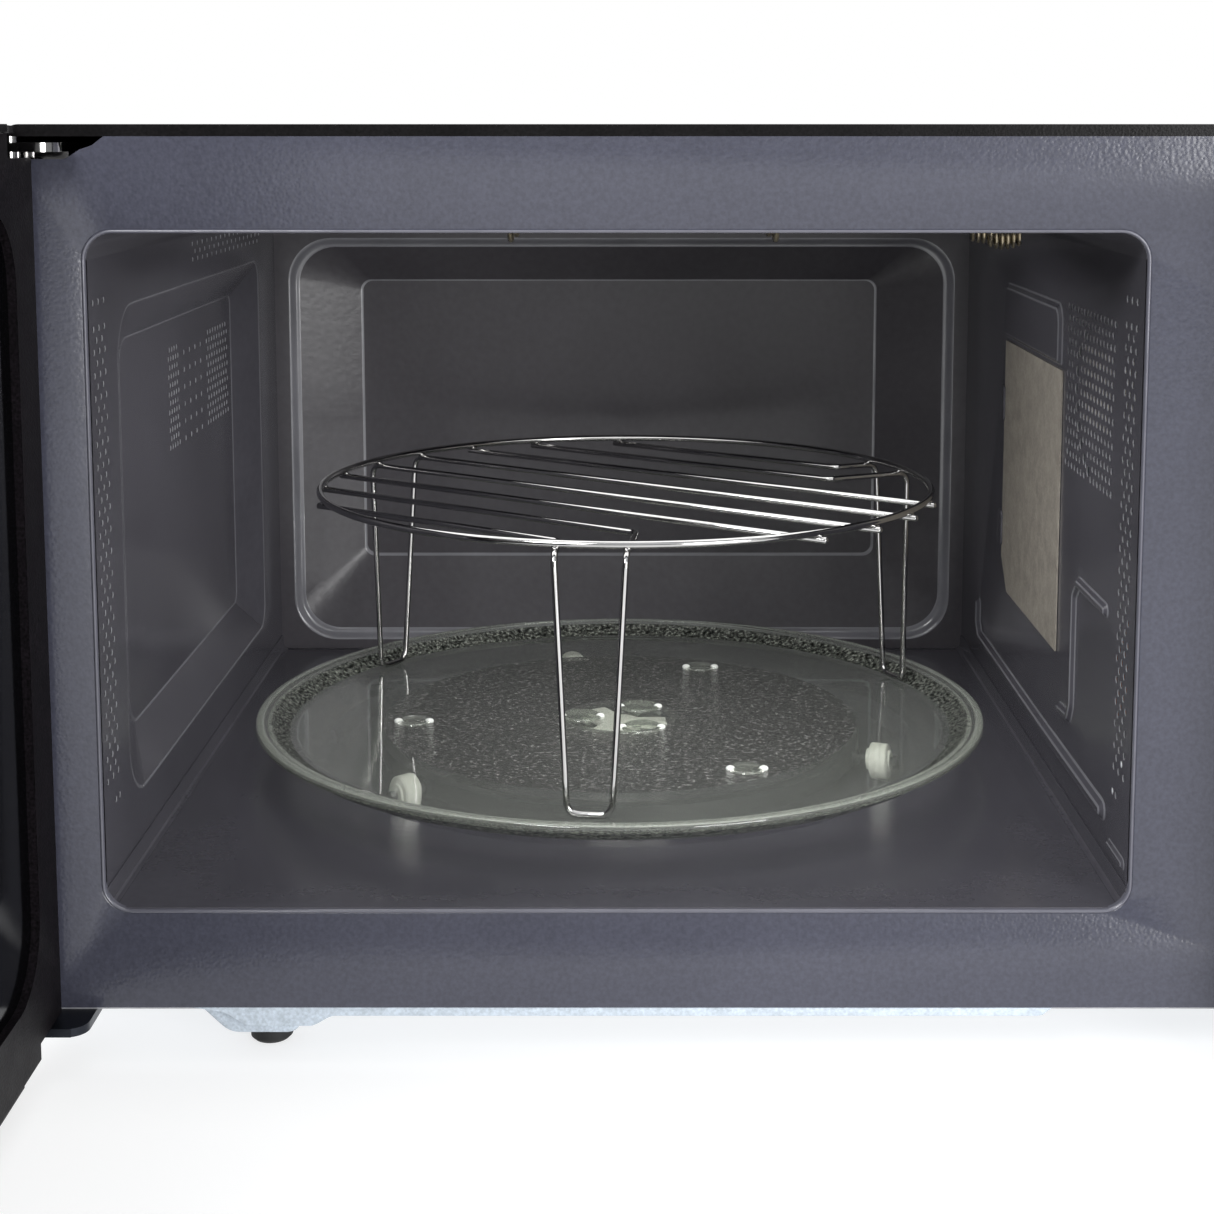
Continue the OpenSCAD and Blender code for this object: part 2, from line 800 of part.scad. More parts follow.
module roller_ring() {
    z = axle_z;
    color([0.16, 0.16, 0.17]) translate([cav_x, tray_y, 0]) union() {
        translate([0, 0, z - 3]) rotate_extrude($fn = 96) polygon([[99, 0], [104, 0], [104, 6], [99, 6]]);
        translate([0, 0, z - 3]) rotate_extrude() polygon([[24, 0], [29, 0], [29, 4], [24, 4]]);
        for (a = roller_angles) rotate([0, 0, a]) {
            block([27, -4, z - 2.5], [100, 4, z + 0.5]);
            rod_x([103, 0, z], 1.6, 20);
            rod_x([track_r + 6, 0, z], 2.2, 2);
            rod_x([103.5, 0, z], 2.6, 3);
        }
    }
}

module roller(i) {
    color([0.95, 0.95, 0.93]) translate([cav_x, tray_y, axle_z]) rotate([0, 0, roller_angles[i]])
        translate([track_r - 5, 0, 0]) rotate([0, 90, 0]) rotate_extrude() polygon([
            [1.6 + pin_clear, 0], [4, 0], [4, 1.5], [roller_r - 0.6, 1.5], [roller_r, 2.1],
            [roller_r, 8.4], [roller_r - 0.6, 9], [4, 9], [4, 10], [1.6 + pin_clear, 10]
        ]);
}

// ---------- wire rack ----------

// A straight round wire between two points
module wire(a, b, d) {
    v = b - a;
    l = norm(v);
    translate(a) rotate([0, acos(v[2] / l), atan2(v[1], v[0])]) cylinder(r = d / 2, h = l, $fn = 20);
}

// A wire along a list of points, with a ball that joins its stretches at each bend
module wire_path(points, d) {
    last = len(points) - 1;
    trim = d / 2 + 0.05;
    for (i = [0:last - 1]) {
        u = (points[i + 1] - points[i]) / norm(points[i + 1] - points[i]);
        a = points[i] + (i > 0 ? trim : 0) * u;
        b = points[i + 1] - (i < last - 1 ? trim : 0) * u;
        wire(a, b, d);
    }
    for (i = [1:last - 1]) translate(points[i]) sphere(r = 0.75 * d, $fn = 20);
}

// Where a bar at sideways distance v meets the ring
function reach(v) = sqrt(pow(rack_d / 2, 2) - v * v);

// Point at distance r along the leg at angle s * 60, q to the side that faces away from the middle bars
function leg_point(s, r, q, z) = [r * cos(60) - q * sin(60), s * (r * sin(60) + q * cos(60)), z];

// Bend where a bar at sideways distance v turns towards its leg
function leg_bend(s, v, q, z) = [(v - q * cos(60)) / tan(60) - q * sin(60), s * v, z];

// The rack's place on the tray
module on_tray() {
    translate([cav_x + 2.5, tray_y + 4.5, 0]) rotate([0, 0, -35.5]) children();
}

// The ring with the two bars that cross it straight
module wire_rack() {
    color([0.80, 0.80, 0.80]) on_tray() {
        translate([0, 0, rack_z]) rotate_extrude($fn = 128)
            translate([rack_d / 2, 0]) circle(ring_wire / 2, $fn = 20);
        end = reach(bar_v[1]) + 3;
        for (s = [-1, 1]) wire([-end, s * bar_v[1], bar_z], [end, s * bar_v[1], bar_z], bar_wire);
    }
}

// The bars that bend down into legs, welded under the ring
module rack_legs() {
    v = bar_v;
    foot = tray_base_z + 4.5 + 0.75 * bar_wire + 0.05;
    top = 13.5;
    low = 8.5;
    out = rack_d / 2 + 3.5;
    base = out + 2.5;
    color([0.80, 0.80, 0.80]) on_tray() {
        wire_path([
            [reach(v[0]) + 3, -v[0], bar_z], [-out, -v[0], bar_z], [-base, -low, foot], [-base, low, foot],
            [-out, v[0], bar_z], [reach(v[0]) + 3, v[0], bar_z]
        ], bar_wire);
        for (s = [-1, 1]) wire_path([
            [-reach(v[2]) - 3, s * v[2], bar_z], leg_bend(s, v[2], -top, bar_z),
            leg_point(s, out, -top, bar_z), leg_point(s, base, -low, foot),
            leg_point(s, base, low, foot), leg_point(s, out, top, bar_z),
            leg_bend(s, v[3], top, bar_z), [-reach(v[3]) - 3, s * v[3], bar_z]
        ], bar_wire);
    }
}

outer_case();
rear_panel();
base_plate();
feet();
front_frame();
cavity_wrap();
cavity_back();
cavity_floor();
mica_cover();
waveguide();
magnetron();
transformer_core();
transformer_coils();
capacitor();
capacitor_clamp();
diode();
fan_motor();
fan_shroud();
noise_filter();
control_panel();
display_window();
control_board();
latch_board();
microswitches();
oven_lamp();
turntable_motor();
grill_tubes();
grill_reflector();
grill_supports();
thermal_cutouts();
hinge_upper();
hinge_lower();
case_screws();
cord_gland();
door_frame();
door_glass();
door_choke();
choke_cover();
door_film();
hinge_pins();
latch_hook();
door_button();
release_lever();
key(0);  // key_1
key(1);  // key_2
key(2);  // key_3
key(3);  // key_4
key(4);  // key_5
key(5);  // key_6
dial();
drive_coupler();
glass_tray();
wire_rack();
rack_legs();
roller_ring();
roller(0);  // roller_1
roller(1);  // roller_2
roller(2);  // roller_3
fan_blade();
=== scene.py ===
import math

import bmesh
import bpy
from mathutils import Matrix, Vector, noise
from mathutils.geometry import delaunay_2d_cdt


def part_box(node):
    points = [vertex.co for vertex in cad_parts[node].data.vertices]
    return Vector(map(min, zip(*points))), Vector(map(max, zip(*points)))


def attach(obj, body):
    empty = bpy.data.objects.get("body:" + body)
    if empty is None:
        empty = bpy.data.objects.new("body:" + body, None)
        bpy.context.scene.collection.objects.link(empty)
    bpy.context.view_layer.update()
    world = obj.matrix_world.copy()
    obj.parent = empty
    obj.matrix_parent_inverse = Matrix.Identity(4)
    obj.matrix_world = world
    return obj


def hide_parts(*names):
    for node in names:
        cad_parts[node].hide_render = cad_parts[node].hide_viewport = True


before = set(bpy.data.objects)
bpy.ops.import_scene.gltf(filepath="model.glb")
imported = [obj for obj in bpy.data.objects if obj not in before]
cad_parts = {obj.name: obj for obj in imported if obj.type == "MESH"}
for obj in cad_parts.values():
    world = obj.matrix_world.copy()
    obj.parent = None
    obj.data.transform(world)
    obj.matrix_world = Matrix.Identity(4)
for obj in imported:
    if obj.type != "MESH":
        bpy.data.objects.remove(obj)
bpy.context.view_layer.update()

MM = 0.001
scene = bpy.context.scene


# ---------- camera, in metres and degrees ----------

def make_camera():
    """The viewpoint: in front of the opening, a little above it, looking seven degrees down."""
    data = bpy.data.cameras.new("camera")
    data.sensor_width = 36
    data.lens = 59.59
    data.shift_x = -0.0199
    data.shift_y = -0.1875
    data.clip_start = 0.01
    camera = bpy.data.objects.new("camera", data)
    camera.location = (-0.0516, -0.8686, 0.3232)
    camera.rotation_euler = (math.radians(83), 0, 0)
    scene.collection.objects.link(camera)
    scene.camera = camera


make_camera()


# ---------- places, in millimetres, from the CAD nodes ----------

def corners(node):
    """A node's lowest and highest corners in millimetres."""
    lo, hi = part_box(node)
    return lo / MM, hi / MM


SHEET = 1.0
WRAP_LO, WRAP_HI = corners("cavity_wrap")
BACK_LO, BACK_HI = corners("cavity_back")
PLATE_LO, PLATE_HI = corners("front_frame")
LEFT = WRAP_LO.x + SHEET
RIGHT = WRAP_HI.x - SHEET
CEILING = WRAP_HI.z - SHEET
FLOOR = corners("cavity_floor")[1].z
FRONT = PLATE_LO.y
MID = (LEFT + RIGHT) / 2
HALF_W = (RIGHT - LEFT) / 2
HEIGHT = CEILING - FLOOR
REAR = BACK_LO.y
DISH = BACK_HI.y - SHEET - REAR
DEPTH = REAR - FRONT
PLATE_T = PLATE_HI.y - PLATE_LO.y
OPENING_R = 9.0
TRAY_LO, TRAY_HI = corners("glass_tray")
TRAY_X = MID
TRAY_Y = (TRAY_LO.y + TRAY_HI.y) / 2
TRAY_R = (TRAY_HI.x - TRAY_LO.x) / 2
TRAY_TOP = TRAY_HI.z
TRAY_BASE = TRAY_TOP - 10


# ---------- outlines in two dimensions ----------

def rounded(lo, hi, r, steps=6):
    """A rectangle's outline, counterclockwise, with a radius for each corner from the lower left."""
    radii = r if isinstance(r, (list, tuple)) else [r] * 4
    starts = [
        (lo[0] + radii[0], lo[1] + radii[0], 180),
        (hi[0] - radii[1], lo[1] + radii[1], 270),
        (hi[0] - radii[2], hi[1] - radii[2], 0),
        (lo[0] + radii[3], hi[1] - radii[3], 90),
    ]
    points = []
    for (x, y, start), radius in zip(starts, radii):
        for i in range(steps + 1):
            a = math.radians(start + 90 * i / steps)
            points.append((x + radius * math.cos(a), y + radius * math.sin(a)))
    return points


def circle(x, y, r, count=10, start=0.0):
    angles = [start + 2 * math.pi * i / count for i in range(count)]
    return [(x + r * math.cos(a), y + r * math.sin(a)) for a in angles]


def mix(a, b, t):
    return [(p[0] + (q[0] - p[0]) * t, p[1] + (q[1] - p[1]) * t) for p, q in zip(a, b)]


def offset(loop, amount):
    """A closed counterclockwise outline moved outwards by amount."""
    out = []
    count = len(loop)
    for i in range(count):
        before = Vector(loop[i]) - Vector(loop[i - 1])
        after = Vector(loop[(i + 1) % count]) - Vector(loop[i])
        if before.length < 1e-6 or after.length < 1e-6:
            normal = before.normalized() + after.normalized()
            normal = Vector((normal.y, -normal.x)).normalized()
            out.append((loop[i][0] + normal.x * amount, loop[i][1] + normal.y * amount))
            continue
        a = Vector((before.y, -before.x)).normalized()
        b = Vector((after.y, -after.x)).normalized()
        bisector = (a + b).normalized()
        reach = amount / max(0.3, bisector.dot(a))
        out.append((loop[i][0] + bisector.x * reach, loop[i][1] + bisector.y * reach))
    return out


def around(path, half, caps=4):
    """The outline of a line of that half width along an open path, with round ends."""
    points = [Vector(p) for p in path]
    last = len(points) - 1
    normals = []
    for i in range(last + 1):
        before = (points[i] - points[max(i - 1, 0)]) if i else (points[1] - points[0])
        after = (points[min(i + 1, last)] - points[i]) if i < last else before
        a = Vector((before.y, -before.x)).normalized()
        b = Vector((after.y, -after.x)).normalized()
        bisector = (a + b).normalized()
        normals.append(bisector / max(0.4, bisector.dot(a)))
    right = [p + n * half for p, n in zip(points, normals)]
    left = [p - n * half for p, n in zip(points, normals)]
    loop = list(right)
    loop += cap(points[-1], right[-1], caps)
    loop += list(reversed(left))
    loop += cap(points[0], left[0], caps)
    return [(p.x, p.y) for p in loop]


def cap(centre, start, caps):
    arm = start - centre
    return [centre + Matrix.Rotation(math.pi * i / (caps + 1), 2) @ arm for i in range(1, caps + 1)]


def inside(x, y, loop):
    hit = False
    for i in range(len(loop)):
        x1, y1 = loop[i - 1]
        x2, y2 = loop[i]
        if (y1 > y) != (y2 > y) and x < (x2 - x1) * (y - y1) / (y2 - y1) + x1:
            hit = not hit
    return hit


def ramp(soft=0.14, steps=4):
    """Places from 0 to 1, and how far down a pressed slope has gone at each, rounded at both ends."""
    out = []
    for i in range(steps + 1):
        t = soft * i / steps
        out.append((t, t * t / (2 * soft) / (1 - soft)))
    for i in range(steps + 1):
        t = soft * (1 - i / steps)
        out.append((1 - t, 1 - t * t / (2 * soft) / (1 - soft)))
    return out


def fillet(points, radius, steps=6, closed=False):
    """An open path whose corners are rounded."""
    points = [Vector(p) for p in points]
    out = [] if closed else [points[0]]
    count = len(points)
    for i in range(count) if closed else range(1, count - 1):
        a = points[i - 1] - points[i]
        b = points[(i + 1) % count] - points[i]
        angle = a.angle(b)
        if angle > math.radians(178):
            out.append(points[i])
            continue
        cut = min(radius / math.tan(angle / 2), a.length * 0.49, b.length * 0.49)
        start = points[i] + a.normalized() * cut
        end = points[i] + b.normalized() * cut
        for k in range(steps + 1):
            t = k / steps
            out.append(start * (1 - t) ** 2 + points[i] * (2 * t * (1 - t)) + end * t * t)
    if not closed:
        out.append(points[-1])
    return out


# ---------- mesh building ----------

class Build:
    """Collects faces. place turns (across, up, height) of a sheet into a point in millimetres."""

    def __init__(self, place=None):
        self.verts = []
        self.faces = []
        self.marks = []
        self.place = place or (lambda u, v, d: (u, v, d))

    def add(self, verts, faces, mark=0):
        base = len(self.verts)
        self.verts += [Vector(v) for v in verts]
        self.faces += [[base + i for i in face] for face in faces]
        self.marks += [mark] * len(faces)

    def grid(self, rows, around_rows=True, mark=0):
        count = len(rows[0])
        faces = []
        for r in range(len(rows) - 1):
            for i in range(count if around_rows else count - 1):
                j = (i + 1) % count
                faces.append([r * count + i, r * count + j, (r + 1) * count + j, (r + 1) * count + i])
        self.add([p for row in rows for p in row], faces, mark)

    def region(self, outer, holes=(), height=0.0, mark=0):
        points = []
        edges = []
        owner = []
        loops = [outer] + list(holes)
        for k, loop in enumerate(loops):
            first = len(points)
            points += [Vector(p) for p in loop]
            owner += [k] * len(loop)
            edges += [(first + i, first + (i + 1) % len(loop)) for i in range(len(loop))]
        flat, _, faces, origin, _, _ = delaunay_2d_cdt(points, edges, [], 1, 1e-6)
        whose = [owner[o[0]] if o else 0 for o in origin]
        kept = []
        for face in faces:
            owners = {whose[i] for i in face}
            if len(owners) == 1 and owners != {0}:
                x = sum(flat[i].x for i in face) / 3
                y = sum(flat[i].y for i in face) / 3
                if inside(x, y, loops[owners.pop()]):
                    continue
            kept.append(face)
        self.add([self.place(p.x, p.y, height) for p in flat], kept, mark)

    def loft(self, rings, mark=0):
        self.grid([[self.place(u, v, d) for u, v in loop] for loop, d in rings], True, mark)

    def pressed(self, outer, inner, start, end, holes=(), soft=0.14, mark=0, crease_highlight=None):
        """A pressed area: slopes from the outer outline to the inner one, and is flat inside. The rounded
        ends of the slopes take the second mark when one is given: lighter enamel painted along the creases as
        a highlight.
        """
        rings = [(mix(outer, inner, t), start + (end - start) * k) for t, k in ramp(soft)]
        half = len(rings) // 2
        # The slope ends get the crease mark when one is given: a painted highlight along the creases.
        bend = mark if crease_highlight is None else crease_highlight
        self.loft(rings[:half], bend)
        self.loft(rings[half - 1:half + 1], mark)
        self.loft(rings[half:], bend)
        self.region(inner, holes, end, mark)

    def slab(self, outline, low, high, bevel=0.6, mark=0):
        """A closed plate with rounded edges on an outline."""
        rings = []
        for i in range(4):
            a = math.pi / 2 * i / 3
            rings.append((offset(outline, -bevel * (1 - math.sin(a))), low + bevel * (1 - math.cos(a))))
        for i in range(4):
            a = math.pi / 2 * i / 3
            rings.append((offset(outline, -bevel * (1 - math.cos(a))), high - bevel * (1 - math.sin(a))))
        self.region(rings[0][0], (), rings[0][1], mark)
        self.loft(rings, mark)
        self.region(rings[-1][0], (), rings[-1][1], mark)

    def tube(self, points, radius, closed=False, sides=12, mark=0):
        points = [Vector(p) for p in points]
        count = len(points)
        rows = []
        normal = None
        for i in range(count):
            ahead = points[(i + 1) % count] if closed or i < count - 1 else points[i]
            behind = points[i - 1] if closed or i else points[i]
            along = (ahead - behind).normalized()
            if normal is None:
                normal = along.orthogonal().normalized()
            normal = (normal - along * normal.dot(along)).normalized()
            side = along.cross(normal)
            row = []
            for k in range(sides):
                a = 2 * math.pi * k / sides
                row.append(points[i] + (normal * math.cos(a) + side * math.sin(a)) * radius)
            rows.append(row)
        if closed:
            self.grid(rows + [rows[0]], True, mark)
            return
        for end, inner in ((0, 1), (-1, -2)):
            tip = (points[end] - points[inner]).normalized()
            small = [points[end] + (p - points[end]) * 0.6 + tip * radius * 0.35 for p in rows[end]]
            rows = [small] + rows if end == 0 else rows + [small]
        self.grid(rows, True, mark)
        self.add(rows[0], [list(range(sides))], mark)
        self.add(rows[-1], [list(range(sides))], mark)

    def lathe(self, profile, centre, count=96, mark=0, close=True):
        """Turns a list of (radius, height) round a vertical axis."""
        ring = list(profile) + ([profile[0]] if close else [])
        rows = []
        for i in range(count + 1):
            a = 2 * math.pi * (i % count) / count
            rows.append([(centre[0] + r * math.cos(a), centre[1] + r * math.sin(a), z) for r, z in ring])
        self.grid(rows, False, mark)

    def blob(self, centre, size, rings=6, count=10, mark=0):
        rows = []
        for i in range(rings + 1):
            a = math.pi * i / rings
            row = []
            for k in range(count):
                b = 2 * math.pi * k / count
                row.append((centre[0] + size[0] * math.sin(a) * math.cos(b),
                            centre[1] + size[1] * math.sin(a) * math.sin(b),
                            centre[2] + size[2] * math.cos(a)))
            rows.append(row)
        self.grid(rows, True, mark)

    def turn(self, matrix):
        self.verts = [matrix @ v for v in self.verts]

    def make(self, name, body, materials, replaces=(), thick=0.0, toward=None, angle=32):
        mesh = bpy.data.meshes.new(name)
        bm = bmesh.new()
        points = [bm.verts.new(v * MM) for v in self.verts]
        for face, mark in zip(self.faces, self.marks):
            try:
                made = bm.faces.new([points[i] for i in face])
            except ValueError:
                continue
            made.material_index = mark
        bmesh.ops.remove_doubles(bm, verts=bm.verts, dist=2e-6)
        bmesh.ops.dissolve_degenerate(bm, edges=bm.edges, dist=1e-6)
        bmesh.ops.recalc_face_normals(bm, faces=bm.faces)
        if toward:
            total = Vector()
            for face in bm.faces:
                total += face.normal * face.calc_area()
            if total.dot(Vector(toward)) < 0:
                bmesh.ops.reverse_faces(bm, faces=bm.faces)
        bm.to_mesh(mesh)
        bm.free()
        piece = bpy.data.objects.new(name, mesh)
        scene.collection.objects.link(piece)
        for material in materials:
            mesh.materials.append(material)
        if thick:
            shell = piece.modifiers.new("thickness", "SOLIDIFY")
            shell.thickness = thick * MM
            shell.offset = -1
            shell.material_offset_rim = len(materials) - 1
            settle(piece)
        piece.data.shade_smooth()
        piece.data.set_sharp_from_angle(angle=math.radians(angle))
        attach(piece, body)
        if replaces:
            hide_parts(*replaces)
        return piece


def settle(piece):
    """Applies a piece's modifiers to its mesh."""
    graph = bpy.context.evaluated_depsgraph_get()
    mesh = bpy.data.meshes.new_from_object(piece.evaluated_get(graph))
    piece.modifiers.clear()
    piece.data = mesh


# ---------- materials ----------

def srgb(r, g, b):
    out = []
    for c in (r, g, b):
        c /= 255
        out.append(c / 12.92 if c <= 0.04045 else ((c + 0.055) / 1.055) ** 2.4)
    return out


def finish_of(name, colour, rough=0.4, vary=0.1, patch=30.0, rough_by=0.06, texture="noise",
              grain=1.0, depth=0.02, second=None, fleck=0.0, hard=0.2, middle=0.5, **sockets):
    """A procedural finish: a principled shader whose colour, roughness and relief vary over the surface.

    vary: how much darker and brighter than colour the patches are, unless second gives the bright colour
    patch, grain, depth: size of the patches, size of the grain and height of its relief, in millimetres
    rough_by: how much the roughness goes up and down round rough
    texture: noise, peel (orange peel), voronoi (spangle) or brushed
    fleck: how much single grains differ in brightness
    hard, middle: a small hard makes the patches' edges sharp, a high middle makes bright patches rare
    sockets: values set on the shader itself"""
    material = bpy.data.materials.new(name)
    material.use_nodes = True
    nodes = material.node_tree.nodes
    links = material.node_tree.links
    shader = nodes["Principled BSDF"]
    place = nodes.new("ShaderNodeTexCoord")
    broad = nodes.new("ShaderNodeTexNoise")
    broad.inputs["Scale"].default_value = 1 / (patch * MM)
    broad.inputs["Detail"].default_value = 4
    links.new(place.outputs["Object"], broad.inputs["Vector"])
    ramp_node = nodes.new("ShaderNodeValToRGB")
    low = [c * (1 - vary) for c in colour]
    high = second or [min(1.0, c * (1 + vary)) for c in colour]
    ramp_node.color_ramp.elements[0].position = middle - hard
    ramp_node.color_ramp.elements[0].color = (*low, 1)
    ramp_node.color_ramp.elements[1].position = middle + hard
    ramp_node.color_ramp.elements[1].color = (*high, 1)
    links.new(broad.outputs["Fac"], ramp_node.inputs["Fac"])
    if fleck:
        specks = nodes.new("ShaderNodeTexNoise")
        specks.inputs["Scale"].default_value = 0.8 / (grain * MM)
        specks.inputs["Detail"].default_value = 2
        links.new(place.outputs["Object"], specks.inputs["Vector"])
        spread = nodes.new("ShaderNodeMapRange")
        spread.inputs["From Min"].default_value = 0.3
        spread.inputs["From Max"].default_value = 0.7
        spread.inputs["To Min"].default_value = 1 - fleck
        spread.inputs["To Max"].default_value = 1 + fleck
        links.new(specks.outputs["Fac"], spread.inputs["Value"])
        shade = nodes.new("ShaderNodeVectorMath")
        shade.operation = "SCALE"
        links.new(ramp_node.outputs["Color"], shade.inputs[0])
        links.new(spread.outputs["Result"], shade.inputs["Scale"])
        links.new(shade.outputs["Vector"], shader.inputs["Base Color"])
    else:
        links.new(ramp_node.outputs["Color"], shader.inputs["Base Color"])
    gloss = nodes.new("ShaderNodeMapRange")
    gloss.inputs["To Min"].default_value = max(0.0, rough - rough_by)
    gloss.inputs["To Max"].default_value = rough + rough_by
    links.new(broad.outputs["Fac"], gloss.inputs["Value"])
    links.new(gloss.outputs["Result"], shader.inputs["Roughness"])
    if texture == "noise":
        fine = nodes.new("ShaderNodeTexNoise")
        fine.inputs["Detail"].default_value = 3
        height = fine.outputs["Fac"]
    else:
        fine = nodes.new("ShaderNodeTexVoronoi")
        fine.feature = "SMOOTH_F1" if texture == "peel" else "F1"
        height = fine.outputs["Distance"]
    fine.inputs["Scale"].default_value = 1 / (grain * MM)
    if texture == "brushed":
        stretch = nodes.new("ShaderNodeMapping")
        stretch.inputs["Scale"].default_value = (0.04, 1, 1)
        links.new(place.outputs["Object"], stretch.inputs["Vector"])
        links.new(stretch.outputs["Vector"], fine.inputs["Vector"])
    else:
        links.new(place.outputs["Object"], fine.inputs["Vector"])
    relief = nodes.new("ShaderNodeBump")
    relief.inputs["Distance"].default_value = depth * MM
    relief.inputs["Strength"].default_value = 1
    links.new(height, relief.inputs["Height"])
    links.new(relief.outputs["Normal"], shader.inputs["Normal"])
    for key, value in sockets.items():
        shader.inputs[key.replace("_", " ")].default_value = value
    return material


GREY_ENAMEL = finish_of("grey_enamel", srgb(60, 61, 72), 0.22, 0.06, 60, 0.03, "peel", 1.2, 0.06, fleck=0.12)
CAVITY = finish_of("cavity_enamel", srgb(72, 71, 77), 0.2, 0.08, 45, 0.05, "peel", 3.0, 0.025, fleck=0.05)
# Slightly darker, less shiny copy of the cavity enamel for the back wall: painted shade for the deep end of
# the cavity.
REAR_ENAMEL_SHADED = finish_of("rear_enamel_painted_shade", srgb(68, 66, 70), 0.24, 0.08, 60, 0.05, "peel", 3.0, 0.05, fleck=0.05,
                        Specular_IOR_Level=0.3)
# Lighter copy of the cavity enamel for strips along pressed creases: a painted highlight, not a different
# finish.
CREASE_HIGHLIGHT = finish_of("crease_painted_highlight", srgb(112, 112, 117), 0.16, 0.12, 30, 0.05, "noise", 2.0, 0.02,
                   Coat_Weight=0.5)
# Lighter copy of the plate's enamel for the bead round the opening: a painted highlight along the rolled
# edge.
ROLLED_HIGHLIGHT = finish_of("rolled_edge_painted_highlight", srgb(88, 88, 97), 0.14, 0.1, 12, 0.04, "noise", 1.5, 0.02,
                   Coat_Weight=0.3)
# Cut edges and hole walls: bare metal, made lighter still as a painted highlight where rims catch the light.
CUT_EDGE_AND_HIGHLIGHT = finish_of("cut_edge_and_painted_highlight", srgb(166, 166, 170), 0.3, 0.12, 8, 0.08, "noise", 1.0, 0.02, Metallic=0.3)
CASE = finish_of("case_black", srgb(12, 11, 12), 0.3, 0.3, 25, 0.05, "voronoi", 0.9, 0.03, fleck=0.4,
                 Specular_IOR_Level=0.12)
GALVANISED = finish_of("galvanised", srgb(188, 193, 198), 0.42, 0.10, 9, 0.10, "voronoi", 4.0, 0.02,
                       Metallic=0.75)
PAD_STEEL = finish_of("pad_steel", srgb(176, 186, 196), 0.5, 0.08, 6, 0.08, "noise", 0.8, 0.05, fleck=0.16)
STEEL = finish_of("steel", srgb(170, 172, 176), 0.34, 0.10, 10, 0.08, "noise", 1.2, 0.02, Metallic=1.0)
DARK_STEEL = finish_of("dark_steel", srgb(44, 47, 54), 0.3, 0.12, 10, 0.06, "noise", 0.9, 0.03, Metallic=0.8)
CHROME = finish_of("chrome", srgb(186, 185, 184), 0.1, 0.06, 12, 0.05, "noise", 1.6, 0.012, Metallic=1.0)
ALUMINIUM = finish_of("aluminium", srgb(190, 191, 193), 0.36, 0.06, 12, 0.06, "brushed", 0.5, 0.02,
                      Metallic=1.0)
MICA = finish_of("mica", srgb(134, 128, 120), 0.55, 0.10, 7, 0.10, "noise", 0.9, 0.05,
                 second=srgb(152, 146, 136), fleck=0.14)
BLACK_PLASTIC = finish_of("black_plastic", srgb(16, 15, 17), 0.45, 0.15, 18, 0.06, "noise", 0.5, 0.03,
                          Specular_IOR_Level=0.16)
BORDER = finish_of("border_plastic", srgb(13, 10, 13), 0.5, 0.25, 12, 0.08, "voronoi", 0.8, 0.06, fleck=0.9,
                   Specular_IOR_Level=0.07)
GLOSS_BLACK = finish_of("gloss_black", srgb(10, 10, 12), 0.12, 0.2, 40, 0.04, "noise", 6.0, 0.01)
BLACK_GLASS = finish_of("black_glass", srgb(6, 6, 8), 0.05, 0.2, 60, 0.02, "noise", 20.0, 0.01,
                        Coat_Weight=0.5)
FILM = finish_of("film", srgb(3, 3, 4), 0.1, 0.3, 50, 0.03, "noise", 12.0, 0.02, Specular_IOR_Level=0.08)
WHITE_PLASTIC = finish_of("white_plastic", srgb(226, 225, 220), 0.42, 0.04, 15, 0.06, "noise", 0.6, 0.02)
GREY_PLASTIC = finish_of("grey_plastic", srgb(40, 40, 43), 0.4, 0.12, 15, 0.06, "noise", 0.5, 0.03)
RUBBER = finish_of("rubber", srgb(18, 18, 19), 0.7, 0.2, 6, 0.08, "noise", 0.5, 0.06)
COPPER = finish_of("copper", srgb(184, 105, 52), 0.35, 0.12, 5, 0.08, "brushed", 0.6, 0.2, Metallic=0.9)
BOARD = finish_of("board", srgb(30, 84, 48), 0.45, 0.2, 6, 0.08, "noise", 1.0, 0.05)
CERAMIC = finish_of("ceramic", srgb(215, 208, 192), 0.55, 0.05, 8, 0.08, "noise", 0.8, 0.03)
QUARTZ = finish_of("quartz", srgb(226, 214, 196), 0.25, 0.06, 8, 0.06, "noise", 1.0, 0.02,
                   Transmission_Weight=0.6, IOR=1.46)
BRASSY = finish_of("brassy_wire", srgb(164, 154, 132), 0.28, 0.2, 4, 0.08, "noise", 0.8, 0.03, Metallic=0.9)
GLASS = finish_of("tray_glass", srgb(228, 232, 224), 0.04, 0.03, 30, 0.03, "noise", 14.0, 0.04,
                  Transmission_Weight=0.945, IOR=1.5)
# Pebbled band of the tray: its near-black and light patches are painted shade and painted glints for the
# facets' reflections.
PEBBLED_GLINTS_AND_SHADE = finish_of("tray_pebbled_painted_glints_and_shade", srgb(22, 25, 22), 0.12, 0.0, 1.5, 0.04, "peel", 1.7, 0.35,
                    second=srgb(176, 180, 170), hard=0.12, middle=0.52, Transmission_Weight=0.62, IOR=1.5)
# Frosted stipple of the tray's middle; its rare near-white patches are painted glints standing in for sparkle
# highlights.
STIPPLE_GLINTS = finish_of("tray_stipple_painted_glints", srgb(140, 141, 137), 0.1, 0.0, 2.0, 0.04, "noise", 1.6, 0.6,
                    second=srgb(255, 255, 252), hard=0.02, middle=0.61, Transmission_Weight=0.78, IOR=1.5)
RIM_GLASS = finish_of("tray_rim", srgb(226, 232, 220), 0.08, 0.05, 8, 0.04, "noise", 6.0, 0.03,
                      Transmission_Weight=0.72, IOR=1.5)
